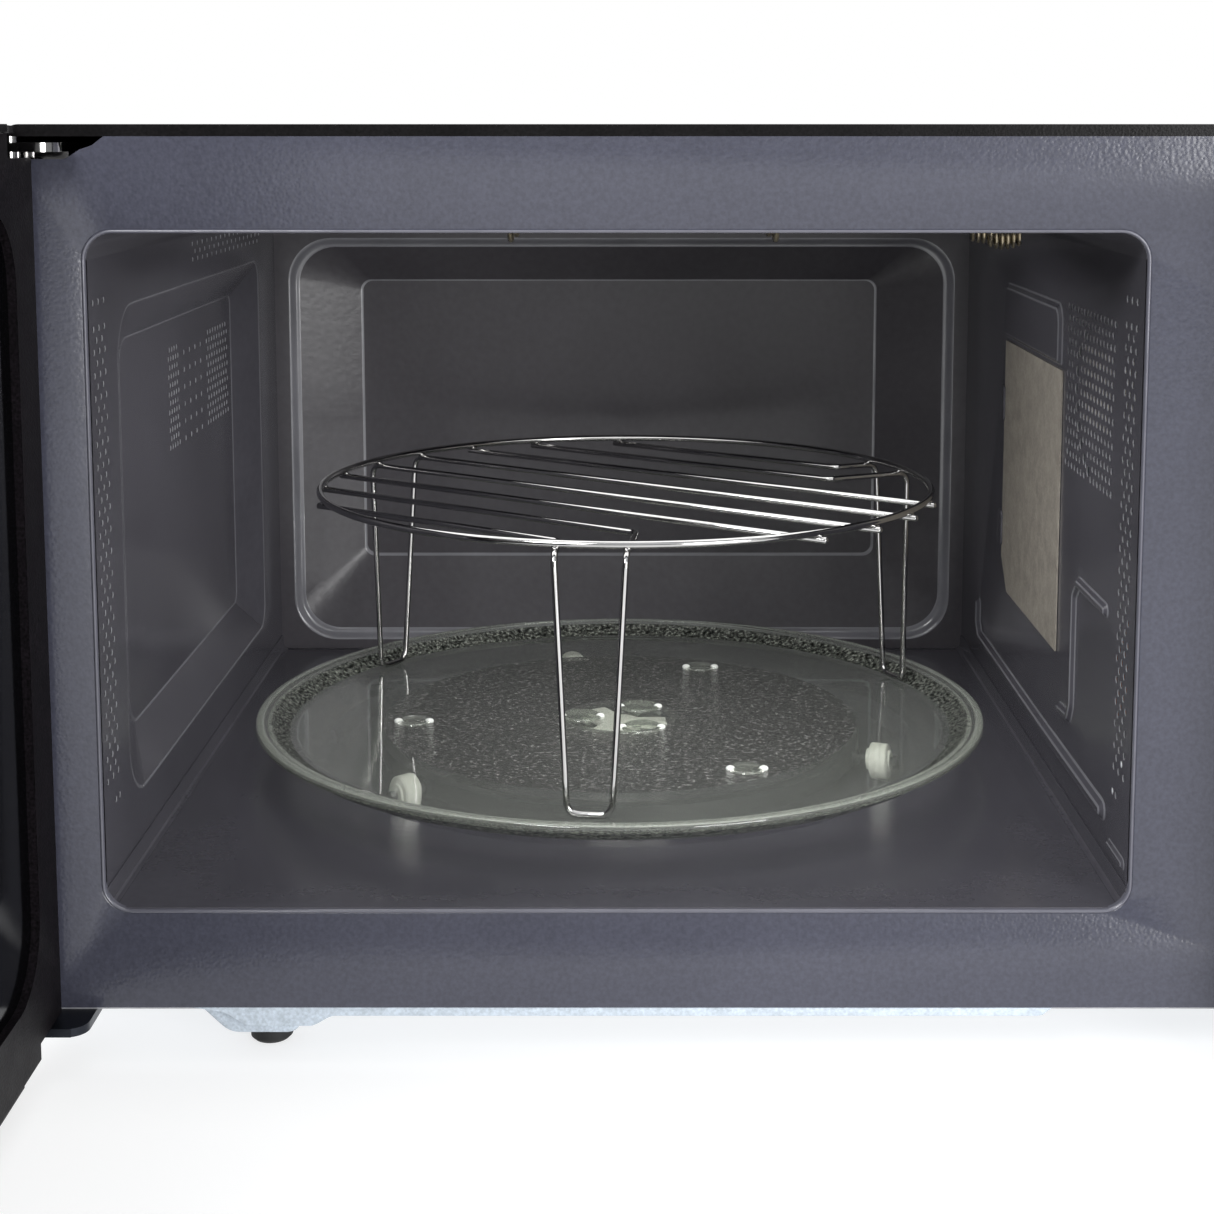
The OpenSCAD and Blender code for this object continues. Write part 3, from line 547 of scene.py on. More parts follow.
# Near-white glass for small blobs at each dimple's left and right ends: painted highlights.
NUB_HIGHLIGHT = finish_of("tray_nub_painted_highlight", srgb(246, 247, 244), 0.12, 0.03, 3, 0.04, "noise", 1.5, 0.03,
                Transmission_Weight=0.15, IOR=1.5)
SMOKED = finish_of("smoked_glass", srgb(5, 5, 6), 0.05, 0.0, 2.4, 0.02, "noise", 20.0, 0.01,
                   second=srgb(38, 38, 41), hard=0.04, middle=0.54, Coat_Weight=0.5)
PRINT = finish_of("print_grey", srgb(168, 168, 172), 0.5, 0.05, 5, 0.05, "noise", 0.5, 0.01)
DISPLAY = finish_of("display_segments", srgb(60, 190, 220), 0.3, 0.08, 4, 0.05, "noise", 0.6, 0.01,
                    Emission_Color=(0.05, 0.5, 0.7, 1.0), Emission_Strength=0.6)

NODE_FINISHES = {
    CASE: ["outer_case"],
    GALVANISED: ["rear_panel", "waveguide"],
    RUBBER: ["feet"],
    MICA: ["mica_cover"],
    ALUMINIUM: ["magnetron", "capacitor"],
    STEEL: ["transformer_core", "capacitor_clamp", "fan_motor", "turntable_motor", "grill_reflector",
            "case_screws"],
    DARK_STEEL: ["hinge_lower"],
    COPPER: ["transformer_coils"],
    BLACK_PLASTIC: ["diode", "fan_shroud", "microswitches", "cord_gland", "door_frame"],
    BORDER: ["choke_cover"],
    BOARD: ["noise_filter", "control_board"],
    GLOSS_BLACK: ["control_panel", "door_button"],
    BLACK_GLASS: ["display_window"],
    FILM: ["door_film"],
    CAVITY: ["door_choke"],
    WHITE_PLASTIC: ["latch_board", "latch_hook", "release_lever", "drive_coupler",
                    "roller_1", "roller_2", "roller_3", "fan_blade"],
    GREY_PLASTIC: ["roller_ring", "key_1", "key_2", "key_3", "key_4", "key_5", "key_6"],
    CERAMIC: ["oven_lamp", "thermal_cutouts"],
    QUARTZ: ["grill_tubes"],
    BRASSY: ["grill_supports"],
    CHROME: ["hinge_upper", "hinge_pins"],
}
SOFT_EDGES = {
    "outer_case": 0.7, "choke_cover": 0.7, "door_frame": 0.5, "control_panel": 0.9,
    "door_button": 0.6, "display_window": 0.3, "hinge_upper": 0.5, "hinge_lower": 0.5, "hinge_pins": 0.4,
    "feet": 0.4, "latch_hook": 0.4, "cord_gland": 0.8, "case_screws": 0.4,
    "key_1": 0.5, "key_2": 0.5, "key_3": 0.5, "key_4": 0.5, "key_5": 0.5, "key_6": 0.5,
    "drive_coupler": 0.4, "roller_ring": 0.3, "roller_1": 0.2, "roller_2": 0.2, "roller_3": 0.2,
}


def finish_nodes():
    """Gives the CAD nodes that stay their finishes, and softens their edges."""
    for material, names in NODE_FINISHES.items():
        for name in names:
            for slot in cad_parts[name].material_slots:
                slot.material = material
    for name, radius in SOFT_EDGES.items():
        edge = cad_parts[name].modifiers.new("edge", "BEVEL")
        edge.width = radius * MM
        edge.segments = 2
        edge.limit_method = "ANGLE"
        edge.angle_limit = math.radians(40)
        edge.harden_normals = False


# ---------- holes ----------

HOLE_R = 1.35
FINE_HOLE_R = 1.15
LAMP_HOLE_R = 2.1
WALL_T = 0.35


def staggered(lo, hi, pitch_u, pitch_v):
    """Places of staggered rows of holes inside a rectangle."""
    rows = int(round((hi[1] - lo[1]) / pitch_v)) + 1
    out = []
    for j in range(rows):
        shift = pitch_u / 2 if j % 2 else 0.0
        u = lo[0] + shift
        while u <= hi[0] + 1e-6:
            out.append((u, lo[1] + j * pitch_v))
            u += pitch_u
    return out


def door_side_strip(start):
    """The column of small holes beside the opening."""
    out = [(start, 210), (start + 7, 210), (start + 14, 210)]
    out += staggered((start, 43), (start + 14, 201), 7.0, 3.95)
    out += [(start + 10, 33.5), (start + 15, 33.5)]
    return out


def holes_at(places, r, count=10):
    return [circle(u, v, r, count) for u, v in places]


# ---------- front plate ----------

LATCH_SLOT_X = (152, 159)
LATCH_SLOT_Z = (80, 252)
LATCH_SLOT_UP = 11
LATCH_SLOT_DOWN = 13
PANEL_WINDOW = ((174.5, 32), (250, 312))


def make_front_plate():
    """The painted front plate: beaded opening, hinge notch, latch slots and the panel's window."""
    build = Build(lambda u, v, d: (u, FRONT - d, v))
    lo = (LEFT, FLOOR)
    hi = (RIGHT, CEILING)
    bead = 1.5

    def ring(out):
        return rounded((lo[0] - out, lo[1] - out), (hi[0] + out, hi[1] + out), OPENING_R + out, 10)

    left, right = PLATE_LO.x, PLATE_HI.x
    low, high = PLATE_LO.z, PLATE_HI.z
    step = high - 7.5
    notch = fillet([(left, step, 0), (left + 17, step, 0), (left + 22, step + 3.2, 0),
                    (left + 26, high - 3, 0), (left + 30, high, 0)], 5, 6)
    outer = [(left, low), (right, low), (right, high - 2), (right - 2, high)]
    outer += [(p.x, p.y) for p in reversed(notch)]
    slots = []
    for z in LATCH_SLOT_Z:
        slots.append(rounded((LATCH_SLOT_X[0], z - LATCH_SLOT_DOWN), (LATCH_SLOT_X[1], z + LATCH_SLOT_UP),
                             1.5, 3))
    window = rounded(*PANEL_WINDOW, 4, 4)
    build.region(outer, [ring(bead)] + slots + [window], 0)
    groove = [(1.5, 0), (1.38, -0.1), (1.25, -0.18), (1.15, -0.05)]
    crest = [(1.15, -0.05), (1.0, 0.2), (0.8, 0.32), (0.58, 0.32), (0.32, 0.16), (0.1, -0.15), (0, -0.7),
             (0, -2.5)]
    build.loft([(ring(out), d) for out, d in groove])
    # The bead's crest takes the lighter rolled-edge enamel: a painted highlight.
    build.loft([(ring(out), d) for out, d in crest], 1)
    # The plate's solidified rim takes the light cut-edge metal: bare edge with a painted highlight.
    build.make("front_plate", "oven", [GREY_ENAMEL, ROLLED_HIGHLIGHT, CUT_EDGE_AND_HIGHLIGHT], ["front_frame"],
               PLATE_T * 0.8, (0, -1, 0), 50)


FOOT_R = 7.5


def make_base():
    """The galvanised base plate with its four pressed pads and the lowered middle."""
    lo, hi = corners("base_plate")
    feet_lo, feet_hi = corners("feet")
    under = PLATE_LO.z - 1
    drop = under - lo.z
    build = Build(lambda u, v, d: (u, v, under - d))
    edge = [(lo.x, lo.y), (hi.x, lo.y), (hi.x, hi.y), (lo.x, hi.y)]
    holes = []
    for x in (feet_lo.x + FOOT_R, feet_hi.x - FOOT_R):
        for y_lo, y_hi in ((FRONT + 4, FRONT + 46), (hi.y - 47, hi.y - 5)):
            outer = rounded((x - 26, y_lo), (x + 17, y_hi), 4, 6)
            inner = rounded((x - 11, y_lo + 1.5), (x + 11, y_hi - 1.5), 3, 6)
            holes.append(outer)
            build.pressed(outer, inner, 0, drop, (), 0.3)
    middle = rounded((-149.5, FRONT + 4), (92, FRONT + 301), 6, 6)
    step = rounded((-146, FRONT + 5), (87, FRONT + 297), 5, 6)
    holes.append(middle)
    build.pressed(middle, step, 0, 2, (), 0.35)
    for i in range(6):
        holes.append(rounded((130 + i * 18, 30), (138 + i * 18, 80), 3.9, 5))
    build.region(edge, holes, 0)
    build.make("base_pan", "oven", [PAD_STEEL, CUT_EDGE_AND_HIGHLIGHT], ["base_plate"], 0.9, (0, 0, -1))


def make_base_skirt():
    """The front flange of the base plate: the pad over the left foot, and the strip along the bottom."""
    foot = corners("feet")[0].x + FOOT_R
    top = PLATE_LO.z - 0.2
    wing_z = top - 1.6
    step_z = top - 3.2
    pad_z = top - 6.9
    skirt = [(foot - 24, top)]
    for start, width, z, to_z in ((foot - 15, 12, wing_z, pad_z), (foot + 17, 9, pad_z, step_z)):
        for i in range(9):
            t = i / 8
            skirt.append((start + width * t, z + (to_z - z) * (3 * t * t - 2 * t ** 3)))
    skirt += [(90, step_z), (92, step_z + 0.3), (95.5, top)]
    front = Build(lambda u, v, d: (u, FRONT + d, v))
    front.slab(skirt, 0.5, 2.0, 0.35)
    front.make("base_skirt", "oven", [PAD_STEEL])


def make_door_glass():
    """The door's front glass: printed black all round a smoked window, with an inlaid bright line."""
    lo, hi = corners("door_glass")
    thick = hi.x - lo.x
    build = Build(lambda u, v, d: (lo.x + d, u, v))
    outline = rounded((lo.y, lo.z), (hi.y, hi.z), 4, 6)
    window = rounded((lo.y + 66, lo.z + 52), (hi.y - 60, hi.z - 46), 14, 8)
    line = offset(window, 1.3)
    rings = []
    for degrees in (0, 30, 60, 90):
        a = math.radians(degrees)
        rings.append((offset(outline, -0.8 * (1 - math.sin(a))), 0.8 * (1 - math.cos(a))))
    rings += [(outline, thick - 0.4), (offset(outline, -0.4), thick)]
    build.region(rings[0][0], [line], 0)
    build.region(line, [window], 0, 1)
    build.region(window, (), 0, 2)
    build.loft(rings)
    build.region(rings[-1][0], (), thick)
    build.make("door_front_glass", "door", [BLACK_GLASS, PRINT, SMOKED], ["door_glass"])


# ---------- cavity ----------

RECESS = 9.5


def make_left_wall():
    """Left side of the cavity: a pressed recess with vents, and the holes beside the door."""
    build = Build(lambda u, v, d: (LEFT + d, FRONT + u, FLOOR + v))
    outer = rounded((38, 24.5), (310, 206), [22, 12, 10, 22], 8)
    inner = rounded((78, 42.5), (285, 190), [10, 5, 5, 10], 8)
    vents = staggered((157, 137), (175, 178), 4.4, 3.7)
    vents += [(u, 137 + 7.4 * j) for j in range(6) for u in (186, 197, 208, 219)]
    vents += staggered((232, 137), (277, 178), 5.6, 3.7)
    plain = holes_at(door_side_strip(8), FINE_HOLE_R)
    plain += holes_at(staggered((165, 215), (318, 221), 9.6, 3.2), 1.0, 8)
    edge = rounded((1.3, 0), (DEPTH, HEIGHT - OPENING_R), 0.05, 1)
    build.region(edge, [outer] + plain, 0)
    # Slope ends in the lighter crease enamel: a painted highlight along the recess's creases.
    build.pressed(outer, inner, 0, -RECESS, holes_at(vents, FINE_HOLE_R), 0.05, 0, 1)
    # Hole walls take the light cut-edge metal: bare edge with a painted highlight.
    build.make("cavity_left_wall", "oven", [CAVITY, CREASE_HIGHLIGHT, CUT_EDGE_AND_HIGHLIGHT], [], WALL_T, (1, 0, 0))


def make_right_wall():
    """Right side of the cavity: vents with the arc of lamp holes, three ribs and the pad over the mica."""
    build = Build(lambda u, v, d: (RIGHT - d, FRONT + u, FLOOR + v))
    lamp = [(89, 191), (97, 184), (101, 176), (102, 169), (100, 162), (97, 155), (92, 149), (86, 144),
            (79, 140.5)]
    vents = []
    for u, v in staggered((42, 138), (120, 199), 5.4, 4.4):
        if all(math.hypot(u - a, v - b) > 3.7 for a, b in lamp):
            vents.append((u, v))
    plain = holes_at(door_side_strip(12), HOLE_R)
    plain += holes_at(vents, HOLE_R)
    plain += holes_at(lamp, LAMP_HOLE_R, 14)
    pressings = [
        ([(40, 22), (150, 21), (296, 21), (303, 27), (303, 36)], 4.2, 2.2),
        ([(9, 13), (29, 13)], 2.4, 1.2),
        ([(43, 95.5), (88, 95.5), (94, 90), (94, 46), (98, 39.5), (116, 38)], 3.0, 1.8),
    ]
    holes = []
    for path, half, tall in pressings:
        foot = around([(p.x, p.y) for p in fillet([(u, v, 0) for u, v in path], 5, 4)], half)
        crest = around([(p.x, p.y) for p in fillet([(u, v, 0) for u, v in path], 5, 4)], half * 0.2)
        holes.append(foot)
        # Rib slopes' ends in the lighter crease enamel: a painted highlight.
        build.pressed(foot, crest, 0, tall, (), 0.3, 0, 1)
    boss = rounded((128, 174.5), (250, 200), [2, 2, 8, 8], 5)
    boss_in = rounded((131.5, 177), (246.5, 196.5), [1, 1, 6, 6], 5)
    holes.append(boss)
    # The same painted crease highlight round the pad.
    build.pressed(boss, boss_in, 0, 1.6, (), 0.3, 0, 1)
    edge = rounded((1.3, 0), (DEPTH, HEIGHT - OPENING_R), 0.05, 1)
    build.region(edge, holes + plain, 0)
    # Hole walls take the light cut-edge metal: bare edge with a painted highlight.
    build.make("cavity_right_wall", "oven", [CAVITY, CREASE_HIGHLIGHT, CUT_EDGE_AND_HIGHLIGHT], [], WALL_T, (-1, 0, 0))


def make_ceiling():
    """Top of the cavity with its rounded sides, vents and the opening for the grill."""
    build = Build(lambda u, v, d: (MID + u, FRONT + v, CEILING - d))
    half = HALF_W - OPENING_R
    edge = rounded((-half, 1.3), (half, DEPTH), 0.05, 1)
    grill = rounded((-158, 78), (158, 162), 6, 4)
    lip = offset(grill, -2)
    vents = holes_at(staggered((-100, 232), (100, 260), 7, 6), 1.4)
    build.region(edge, [grill] + vents, 0)
    build.loft([(mix(grill, lip, t), -3.0 * k) for t, k in ramp(0.3)])
    for side in (-1, 1):
        rows = []
        for i in range(9):
            a = math.radians(90 * i / 8)
            x = MID + side * (half + OPENING_R * math.sin(a))
            z = CEILING - OPENING_R * (1 - math.cos(a))
            rows.append([(x, FRONT + 1.3, z), (x, FRONT + DEPTH, z)])
        build.grid(rows, False)
    # Vent and grill opening walls take the light cut-edge metal: bare edge with a painted highlight.
    build.make("cavity_ceiling", "oven", [CAVITY, CUT_EDGE_AND_HIGHLIGHT], ["cavity_wrap"], 0.8, (0, 0, -1))


def make_rear_wall():
    """Back of the cavity, pressed into a dish with a beaded rim."""
    build = Build(lambda u, v, d: (MID + u, REAR - d, FLOOR + v))
    edge = rounded((-HALF_W, 0), (HALF_W, HEIGHT), 0.05, 1)
    rim = rounded((-170, 5), (170, 214), 22, 10)
    outer = rounded((-166, 9), (166, 210), 19, 10)
    inner = rounded((-134, 47.4), (131, 191), 5, 10)
    build.region(edge, [rim], 0)
    # The rim bead and the dish's crease lines take the lighter crease enamel: a painted highlight.
    build.loft([(mix(rim, outer, t), -3.2 * k) for t, k in ramp(0.45)], 1)
    build.pressed(outer, inner, -3.2, -DISH, (), 0.04, 0, 1)
    # The back wall is in the darker enamel copy: painted shade.
    build.make("cavity_rear_wall", "oven", [REAR_ENAMEL_SHADED, CREASE_HIGHLIGHT], ["cavity_back"], 0.8,
               (0, -1, 0))


def make_floor():
    """Floor of the cavity with the round recess that the rollers run in, and its upturned sides."""
    build = Build(lambda u, v, d: (MID + u, FRONT + v, FLOOR + d))
    tray_v = TRAY_Y - FRONT
    half = HALF_W - 3.2
    edge = rounded((-half, 1.3), (half, DEPTH - 3), 0.05, 1)
    recess = circle(0, tray_v, 130, 96)
    bottom = circle(0, tray_v, 124.5, 96)
    build.region(edge, [recess], 0.4)
    build.pressed(recess, bottom, 0.4, -5.5, [circle(0, tray_v, 9, 32)], 0.3)
    for side in (-1, 1):
        rows = []
        for x, z in ((half, 0.4), (half + 1.6, 0.6), (half + 2.5, 1.4), (half + 2.9, 3.0), (half + 2.95, 6.6),
                     (half + 3.15, 7.2)):
            rows.append([(MID + side * x, FRONT + 1.3, FLOOR + z),
                         (MID + side * x, FRONT + DEPTH - 0.4, FLOOR + z)])
        build.grid(rows, False)
    build.make("cavity_floor_pan", "oven", [CAVITY], ["cavity_floor"], 0.5, (0, 0, 1))


def make_mica_clips():
    """The two tabs that hold the mica sheet at its rear edge."""
    build = Build(lambda u, v, d: (RIGHT - d, FRONT + u, FLOOR + v))
    for v in (86, 144):
        tab = rounded((243, v - 8), (253, v + 8), 2, 4)
        build.slab(tab, 0.05, 1.7, 0.5)
    build.make("mica_clips", "oven", [CAVITY])


# ---------- grill ----------

def helix(start, length, radius, turns, sag=0.0, steps=14):
    """Points of a coiled wire along X that may sag in the middle."""
    points = []
    total = int(turns * steps)
    for i in range(total + 1):
        a = 2 * math.pi * i / steps
        t = i / total
        points.append((start[0] + length * t, start[1] + radius * math.cos(a),
                       start[2] + radius * math.sin(a) - sag * math.sin(math.pi * t)))
    return points


def make_grill_wires():
    """The heater coils inside the quartz tubes, and the coiled leads at their right ends."""
    build = Build()
    tubes_lo, tubes_hi = corners("grill_tubes")
    z = tubes_lo.z + 6.5
    for y in (FRONT + 100, FRONT + 140):
        build.tube(helix((MID - 100, y, z), 226, 2.6, 56), 0.35, sides=6)
    build.make("grill_coils", "oven", [BRASSY])
    leads = Build()
    for y in (FRONT + 100, FRONT + 140):
        leads.tube(helix((tubes_hi.x + 0.5, y, CEILING - 4.5), 13, 4.6, 6, 1.5), 0.7, sides=8)
        leads.tube(fillet([(tubes_hi.x - 3, y, CEILING + 2), (tubes_hi.x + 0.5, y, CEILING + 0.1)], 3),
                   0.8, sides=8)
        leads.tube(fillet([(tubes_hi.x + 13.5, y, CEILING + 0.1), (tubes_hi.x + 15, y + 2, CEILING + 4),
                           (tubes_hi.x + 15, y + 2, CEILING + 10)], 3), 0.9, sides=8)
    leads.make("grill_leads", "oven", [BRASSY])


# ---------- turntable ----------

def pebble(x, y):
    """Relief of the tray's pebbled band, in millimetres."""
    near, _ = noise.voronoi(Vector((x / 2.1, y / 2.1, 0.5)))
    return 0.42 * (0.5 - min(near[0], 1.0))


def make_tray():
    """The glass tray: a beaded rim, a pebbled band, a stippled middle, and six ringed dimples. The band and
    the middle carry painted glints in their colour, the dimples painted highlight blobs.
    """
    build = Build()
    r = TRAY_R
    b = TRAY_BASE
    count = 900
    upper = [(r - 0.8, 10), (r - 2.4, 10.15), (r - 3.6, 9.95), (r - 4.6, 9.3), (r - 5.2, 8.95),
             (r - 6.0, 9.1), (r - 6.7, 9.2), (r - 7.5, 8.8)]
    band = []
    steps = 16
    for i in range(1, steps + 1):
        t = i / steps
        band.append((r - 7.5 - 7.0 * t, 8.8 - 4.3 * (t ** 0.85)))
    flat = [(r - 18, 4.5), (r - 30, 4.5), (r - 44, 4.5), (103, 4.5), (102, 4.5), (101, 4.35), (100, 4.3),
            (96, 4.3), (70, 4.3), (40, 4.3), (27, 4.3), (26, 4.4), (25, 4.6), (20, 4.6), (10, 4.6),
            (0.01, 4.6)]
    under = [(0.01, 0), (18, 0), (22, 0.0), (60, 0), (100, 0), (r - 16, 0), (r - 13.5, 0.15),
             (r - 11.5, 0.8), (r - 9, 2), (r - 6.5, 3.9), (r - 4.6, 5.3), (r - 3.4, 6.0),
             (r - 1.6, 6.6), (r - 0.4, 7.2), (r, 8.1), (r, 9.0), (r - 0.25, 9.65)]
    profile = upper + band + flat + under
    first_band = len(upper) - 1
    last_band = len(upper) + len(band)
    rows = []
    for i in range(count + 1):
        a = 2 * math.pi * (i % count) / count
        row = []
        for k, (radius, z) in enumerate(profile + [profile[0]]):
            x = radius * math.cos(a)
            y = radius * math.sin(a)
            rise = 0.0
            if first_band < k < last_band:
                fade = min(1.0, (k - first_band) / 3, (last_band - k) / 3)
                rise = pebble(x, y) * fade
            row.append((TRAY_X + x, TRAY_Y + y, b + min(10.15, z) + rise * 0.8))
        rows.append(row)
    build.grid(rows, False)
    row_length = len(profile) + 1
    disc = upper + band + flat
    marks = []
    for face in build.faces:
        k = face[0] % row_length
        inner = len(upper) + len(band) + 3 <= k <= len(disc) - 5
        below = len(disc) + 2 <= k <= len(disc) + 3
        pebbled = first_band <= k < last_band - 1 or len(disc) + 7 <= k <= len(disc) + 9
        lip = k in (0, 1, 4, 5) or k == len(profile) - 1
        # Mark 1 takes the stipple and mark 2 the pebbled band, both with painted glints in their colour.
        marks.append(1 if inner or below else 2 if pebbled else 4 if lip else 0)
    build.marks = marks
    dimples = [(185, 90, 6.6), (65, 90, 6.6), (305, 90, 6.6)]
    dimples += [(60, 17, 8.2), (180, 17, 8.2), (300, 19, 8.2)]
    for angle, reach, size in dimples:
        a = math.radians(angle)
        x = TRAY_X + reach * math.cos(a)
        y = TRAY_Y + reach * math.sin(a)
        ridge = [(0.01, 4.9), (size - 2.2, 4.9), (size - 1.5, 5.15), (size - 0.8, 5.45), (size, 5.5),
                 (size + 0.7, 5.2), (size + 1.0, 4.5), (0.01, 4.5)]
        build.lathe([(radius, b + z) for radius, z in ridge], (x, y), 36)
        # Two near-white blobs at each dimple's left and right ends: painted highlights, fixed to the tray.
        for side in (-1, 1):
            build.blob((x + side * size * 1.02, y - 0.6, b + 4.9), (1.9, 1.5, 1.25), 8, 14, 3)
    for angle in (60, 180, 300):
        a = math.radians(angle)
        build.blob((TRAY_X + 14 * math.cos(a), TRAY_Y + 14 * math.sin(a), b - 0.2), (2.4, 2.4, 2.7), 8, 14)
    tray = build.make("tray", "tray", [GLASS, STIPPLE_GLINTS, PEBBLED_GLINTS_AND_SHADE, NUB_HIGHLIGHT, RIM_GLASS],
                      ["glass_tray"], 0, None, 60)
    tray.visible_shadow = False


# ---------- wire rack ----------

RACK_ANGLE = -35.5
RING_WIRE = 3.0
BAR_WIRE = 2.6
BARS = [15, 45, 75, 105]


def make_rack():
    """The wire rack: a ring with two cross bars, and a second wire set bent into bars and three legs."""
    lo, hi = corners("wire_rack")
    centre = ((lo.x + hi.x) / 2, (lo.y + hi.y) / 2)
    radius = (hi.x - lo.x - RING_WIRE) / 2
    ring_z = hi.z - RING_WIRE / 2
    bar_z = lo.z + BAR_WIRE / 2
    foot_z = TRAY_BASE + 4.5 + BAR_WIRE / 2 + 0.06
    place = Matrix.Translation((*centre, 0)) @ Matrix.Rotation(math.radians(RACK_ANGLE), 4, "Z")
    reach = {v: math.sqrt(radius ** 2 - v ** 2) for v in BARS}

    def weld(build, x, y):
        build.blob((x, y, bar_z + BAR_WIRE / 2), (1.7, 1.7, 0.9), 6, 10)

    ring = Build()
    circle_points = circle(0, 0, radius, 160)
    ring.tube([(x, y, ring_z) for x, y in circle_points], RING_WIRE / 2, True, 16)
    straight = BARS[1]
    for side in (-1, 1):
        end = reach[straight] + 2.8
        y = side * straight
        ring.tube([(-end, y, bar_z), (0, y, bar_z), (end, y, bar_z)], BAR_WIRE / 2, False, 14)
        for way in (-1, 1):
            weld(ring, way * reach[straight], y)
    ring.turn(place)
    ring.make("rack_ring", "rack", [CHROME], ["wire_rack"], 0, None, 50)

    out = radius + 3.5
    base = out + 2.5
    top, low = 13.5, 8.5
    near, far = BARS[0], reach[BARS[0]] + 2.8
    legs = Build()
    legs.tube(fillet([(far, -near, bar_z), (-out, -near, bar_z), (-base, -low, foot_z), (-base, low, foot_z),
                      (-out, near, bar_z), (far, near, bar_z)], 5.5, 8), BAR_WIRE / 2, False, 14)
    for side in (-1, 1):
        weld(legs, reach[near], side * near)
        weld(legs, -reach[near], side * near)
    cos60, sin60 = 0.5, math.sqrt(3) / 2
    v2, v3 = BARS[2], BARS[3]
    for side in (-1, 1):
        def leg(r, q, z):
            return (r * cos60 - q * sin60, side * (r * sin60 + q * cos60), z)

        def bend(v, q):
            return ((v - q * cos60) / math.tan(math.radians(60)) - q * sin60, side * v, bar_z)

        legs.tube(fillet([(-reach[v2] - 2.8, side * v2, bar_z), bend(v2, -top), leg(out, -top, bar_z),
                          leg(base, -low, foot_z), leg(base, low, foot_z), leg(out, top, bar_z),
                          bend(v3, top), (-reach[v3] - 2.8, side * v3, bar_z)], 5.5, 8),
                  BAR_WIRE / 2, False, 14)
        weld(legs, -reach[v2], side * v2)
        weld(legs, -reach[v3], side * v3)
        for q in (-top, top):
            r = math.sqrt(radius ** 2 - q ** 2)
            x, y, _ = leg(r, q, 0)
            weld(legs, x, y)
    legs.turn(place)
    legs.make("rack_bars", "rack", [CHROME], ["rack_legs"], 0, None, 50)


# ---------- controls ----------

def make_controls():
    """Prints on the control panel: the dial's marks, the clock's segments and an icon on each key."""
    panel_lo, panel_hi = corners("control_panel")
    face = panel_lo.y
    prints = Build(lambda u, v, d: (u, face - d, v))
    dial_lo, dial_hi = corners("dial")
    dial_x = (dial_lo.x + dial_hi.x) / 2
    dial_z = (dial_lo.z + dial_hi.z) / 2
    for i in range(11):
        a = math.radians(225 - 27 * i)
        start = Vector((dial_x + 26.5 * math.cos(a), dial_z + 26.5 * math.sin(a)))
        end = Vector((dial_x + 30.5 * math.cos(a), dial_z + 30.5 * math.sin(a)))
        prints.slab(around([start, end], 0.5, 3), -0.02, 0.06, 0.02)
    prints.make("dial_marks", "oven", [PRINT])
    window_lo, window_hi = corners("display_window")
    digits = Build(lambda u, v, d: (u, window_lo.y - d, v))
    middle = (window_lo.x + window_hi.x) / 2
    level = (window_lo.z + window_hi.z) / 2
    shapes = {"0": "abcdef", "1": "bc", "2": "abged", "3": "abgcd"}
    spans = {"a": ((-3.6, 8), (3.6, 8)), "g": ((-3.6, 0), (3.6, 0)), "d": ((-3.6, -8), (3.6, -8)),
             "b": ((4.6, 7), (4.6, 1)), "c": ((4.6, -1), (4.6, -7)), "e": ((-4.6, -1), (-4.6, -7)),
             "f": ((-4.6, 7), (-4.6, 1))}
    for character, x in zip("1230", (-27, -11, 11, 27)):
        for segment in shapes[character]:
            a, b = spans[segment]
            path = [(middle + x + a[0], level + a[1]), (middle + x + b[0], level + b[1])]
            digits.slab(around(path, 0.7, 2), -0.02, 0.06, 0.02)
    for z in (-4, 4):
        digits.slab(circle(middle, level + z, 0.9, 12), -0.02, 0.06, 0.02)
    digits.make("display_digits", "oven", [DISPLAY])
    icons = {
        1: [[(-4, 0), (-2, 2.2), (0, 0), (2, 2.2), (4, 0)], [(-4, -2.4), (-2, -0.2), (0, -2.4), (2, -0.2),
                                                            (4, -2.4)]],
        2: [[(-4, 2.4), (4, 2.4)], [(-3, 0.6), (-3, -2)], [(0, 0.6), (0, -2)], [(3, 0.6), (3, -2)]],
        3: [[(-3, 0), (3, 0)], [(-1.5, -2.6), (1.5, 2.6)], [(-1.5, 2.6), (1.5, -2.6)]],
        4: [[(0, 0), (0, 2.4)], [(0, 0), (1.8, -0.8)], circle(0, 0, 3.2, 24)[:22]],
        5: [[(-2.2, -2.4), (2.2, -2.4), (2.2, 2.4), (-2.2, 2.4), (-2.2, -1.4)]],
        6: [[(-2, 2.6), (2.4, 0), (-2, -2.6), (-2, 1.6)]],
    }
    for number, paths in icons.items():
        lo, hi = corners("key_%d" % number)
        x = (lo.x + hi.x) / 2
        z = (lo.z + hi.z) / 2
        icon = Build(lambda u, v, d, y=lo.y: (u, y - d, v))
        for path in paths:
            icon.slab(around([(x + a, z + b) for a, b in path], 0.35, 2), -0.02, 0.06, 0.02)
        icon.make("key_icon_%d" % number, "key_%d" % number, [PRINT])
    make_dial(dial_x, dial_z, dial_lo, dial_hi)


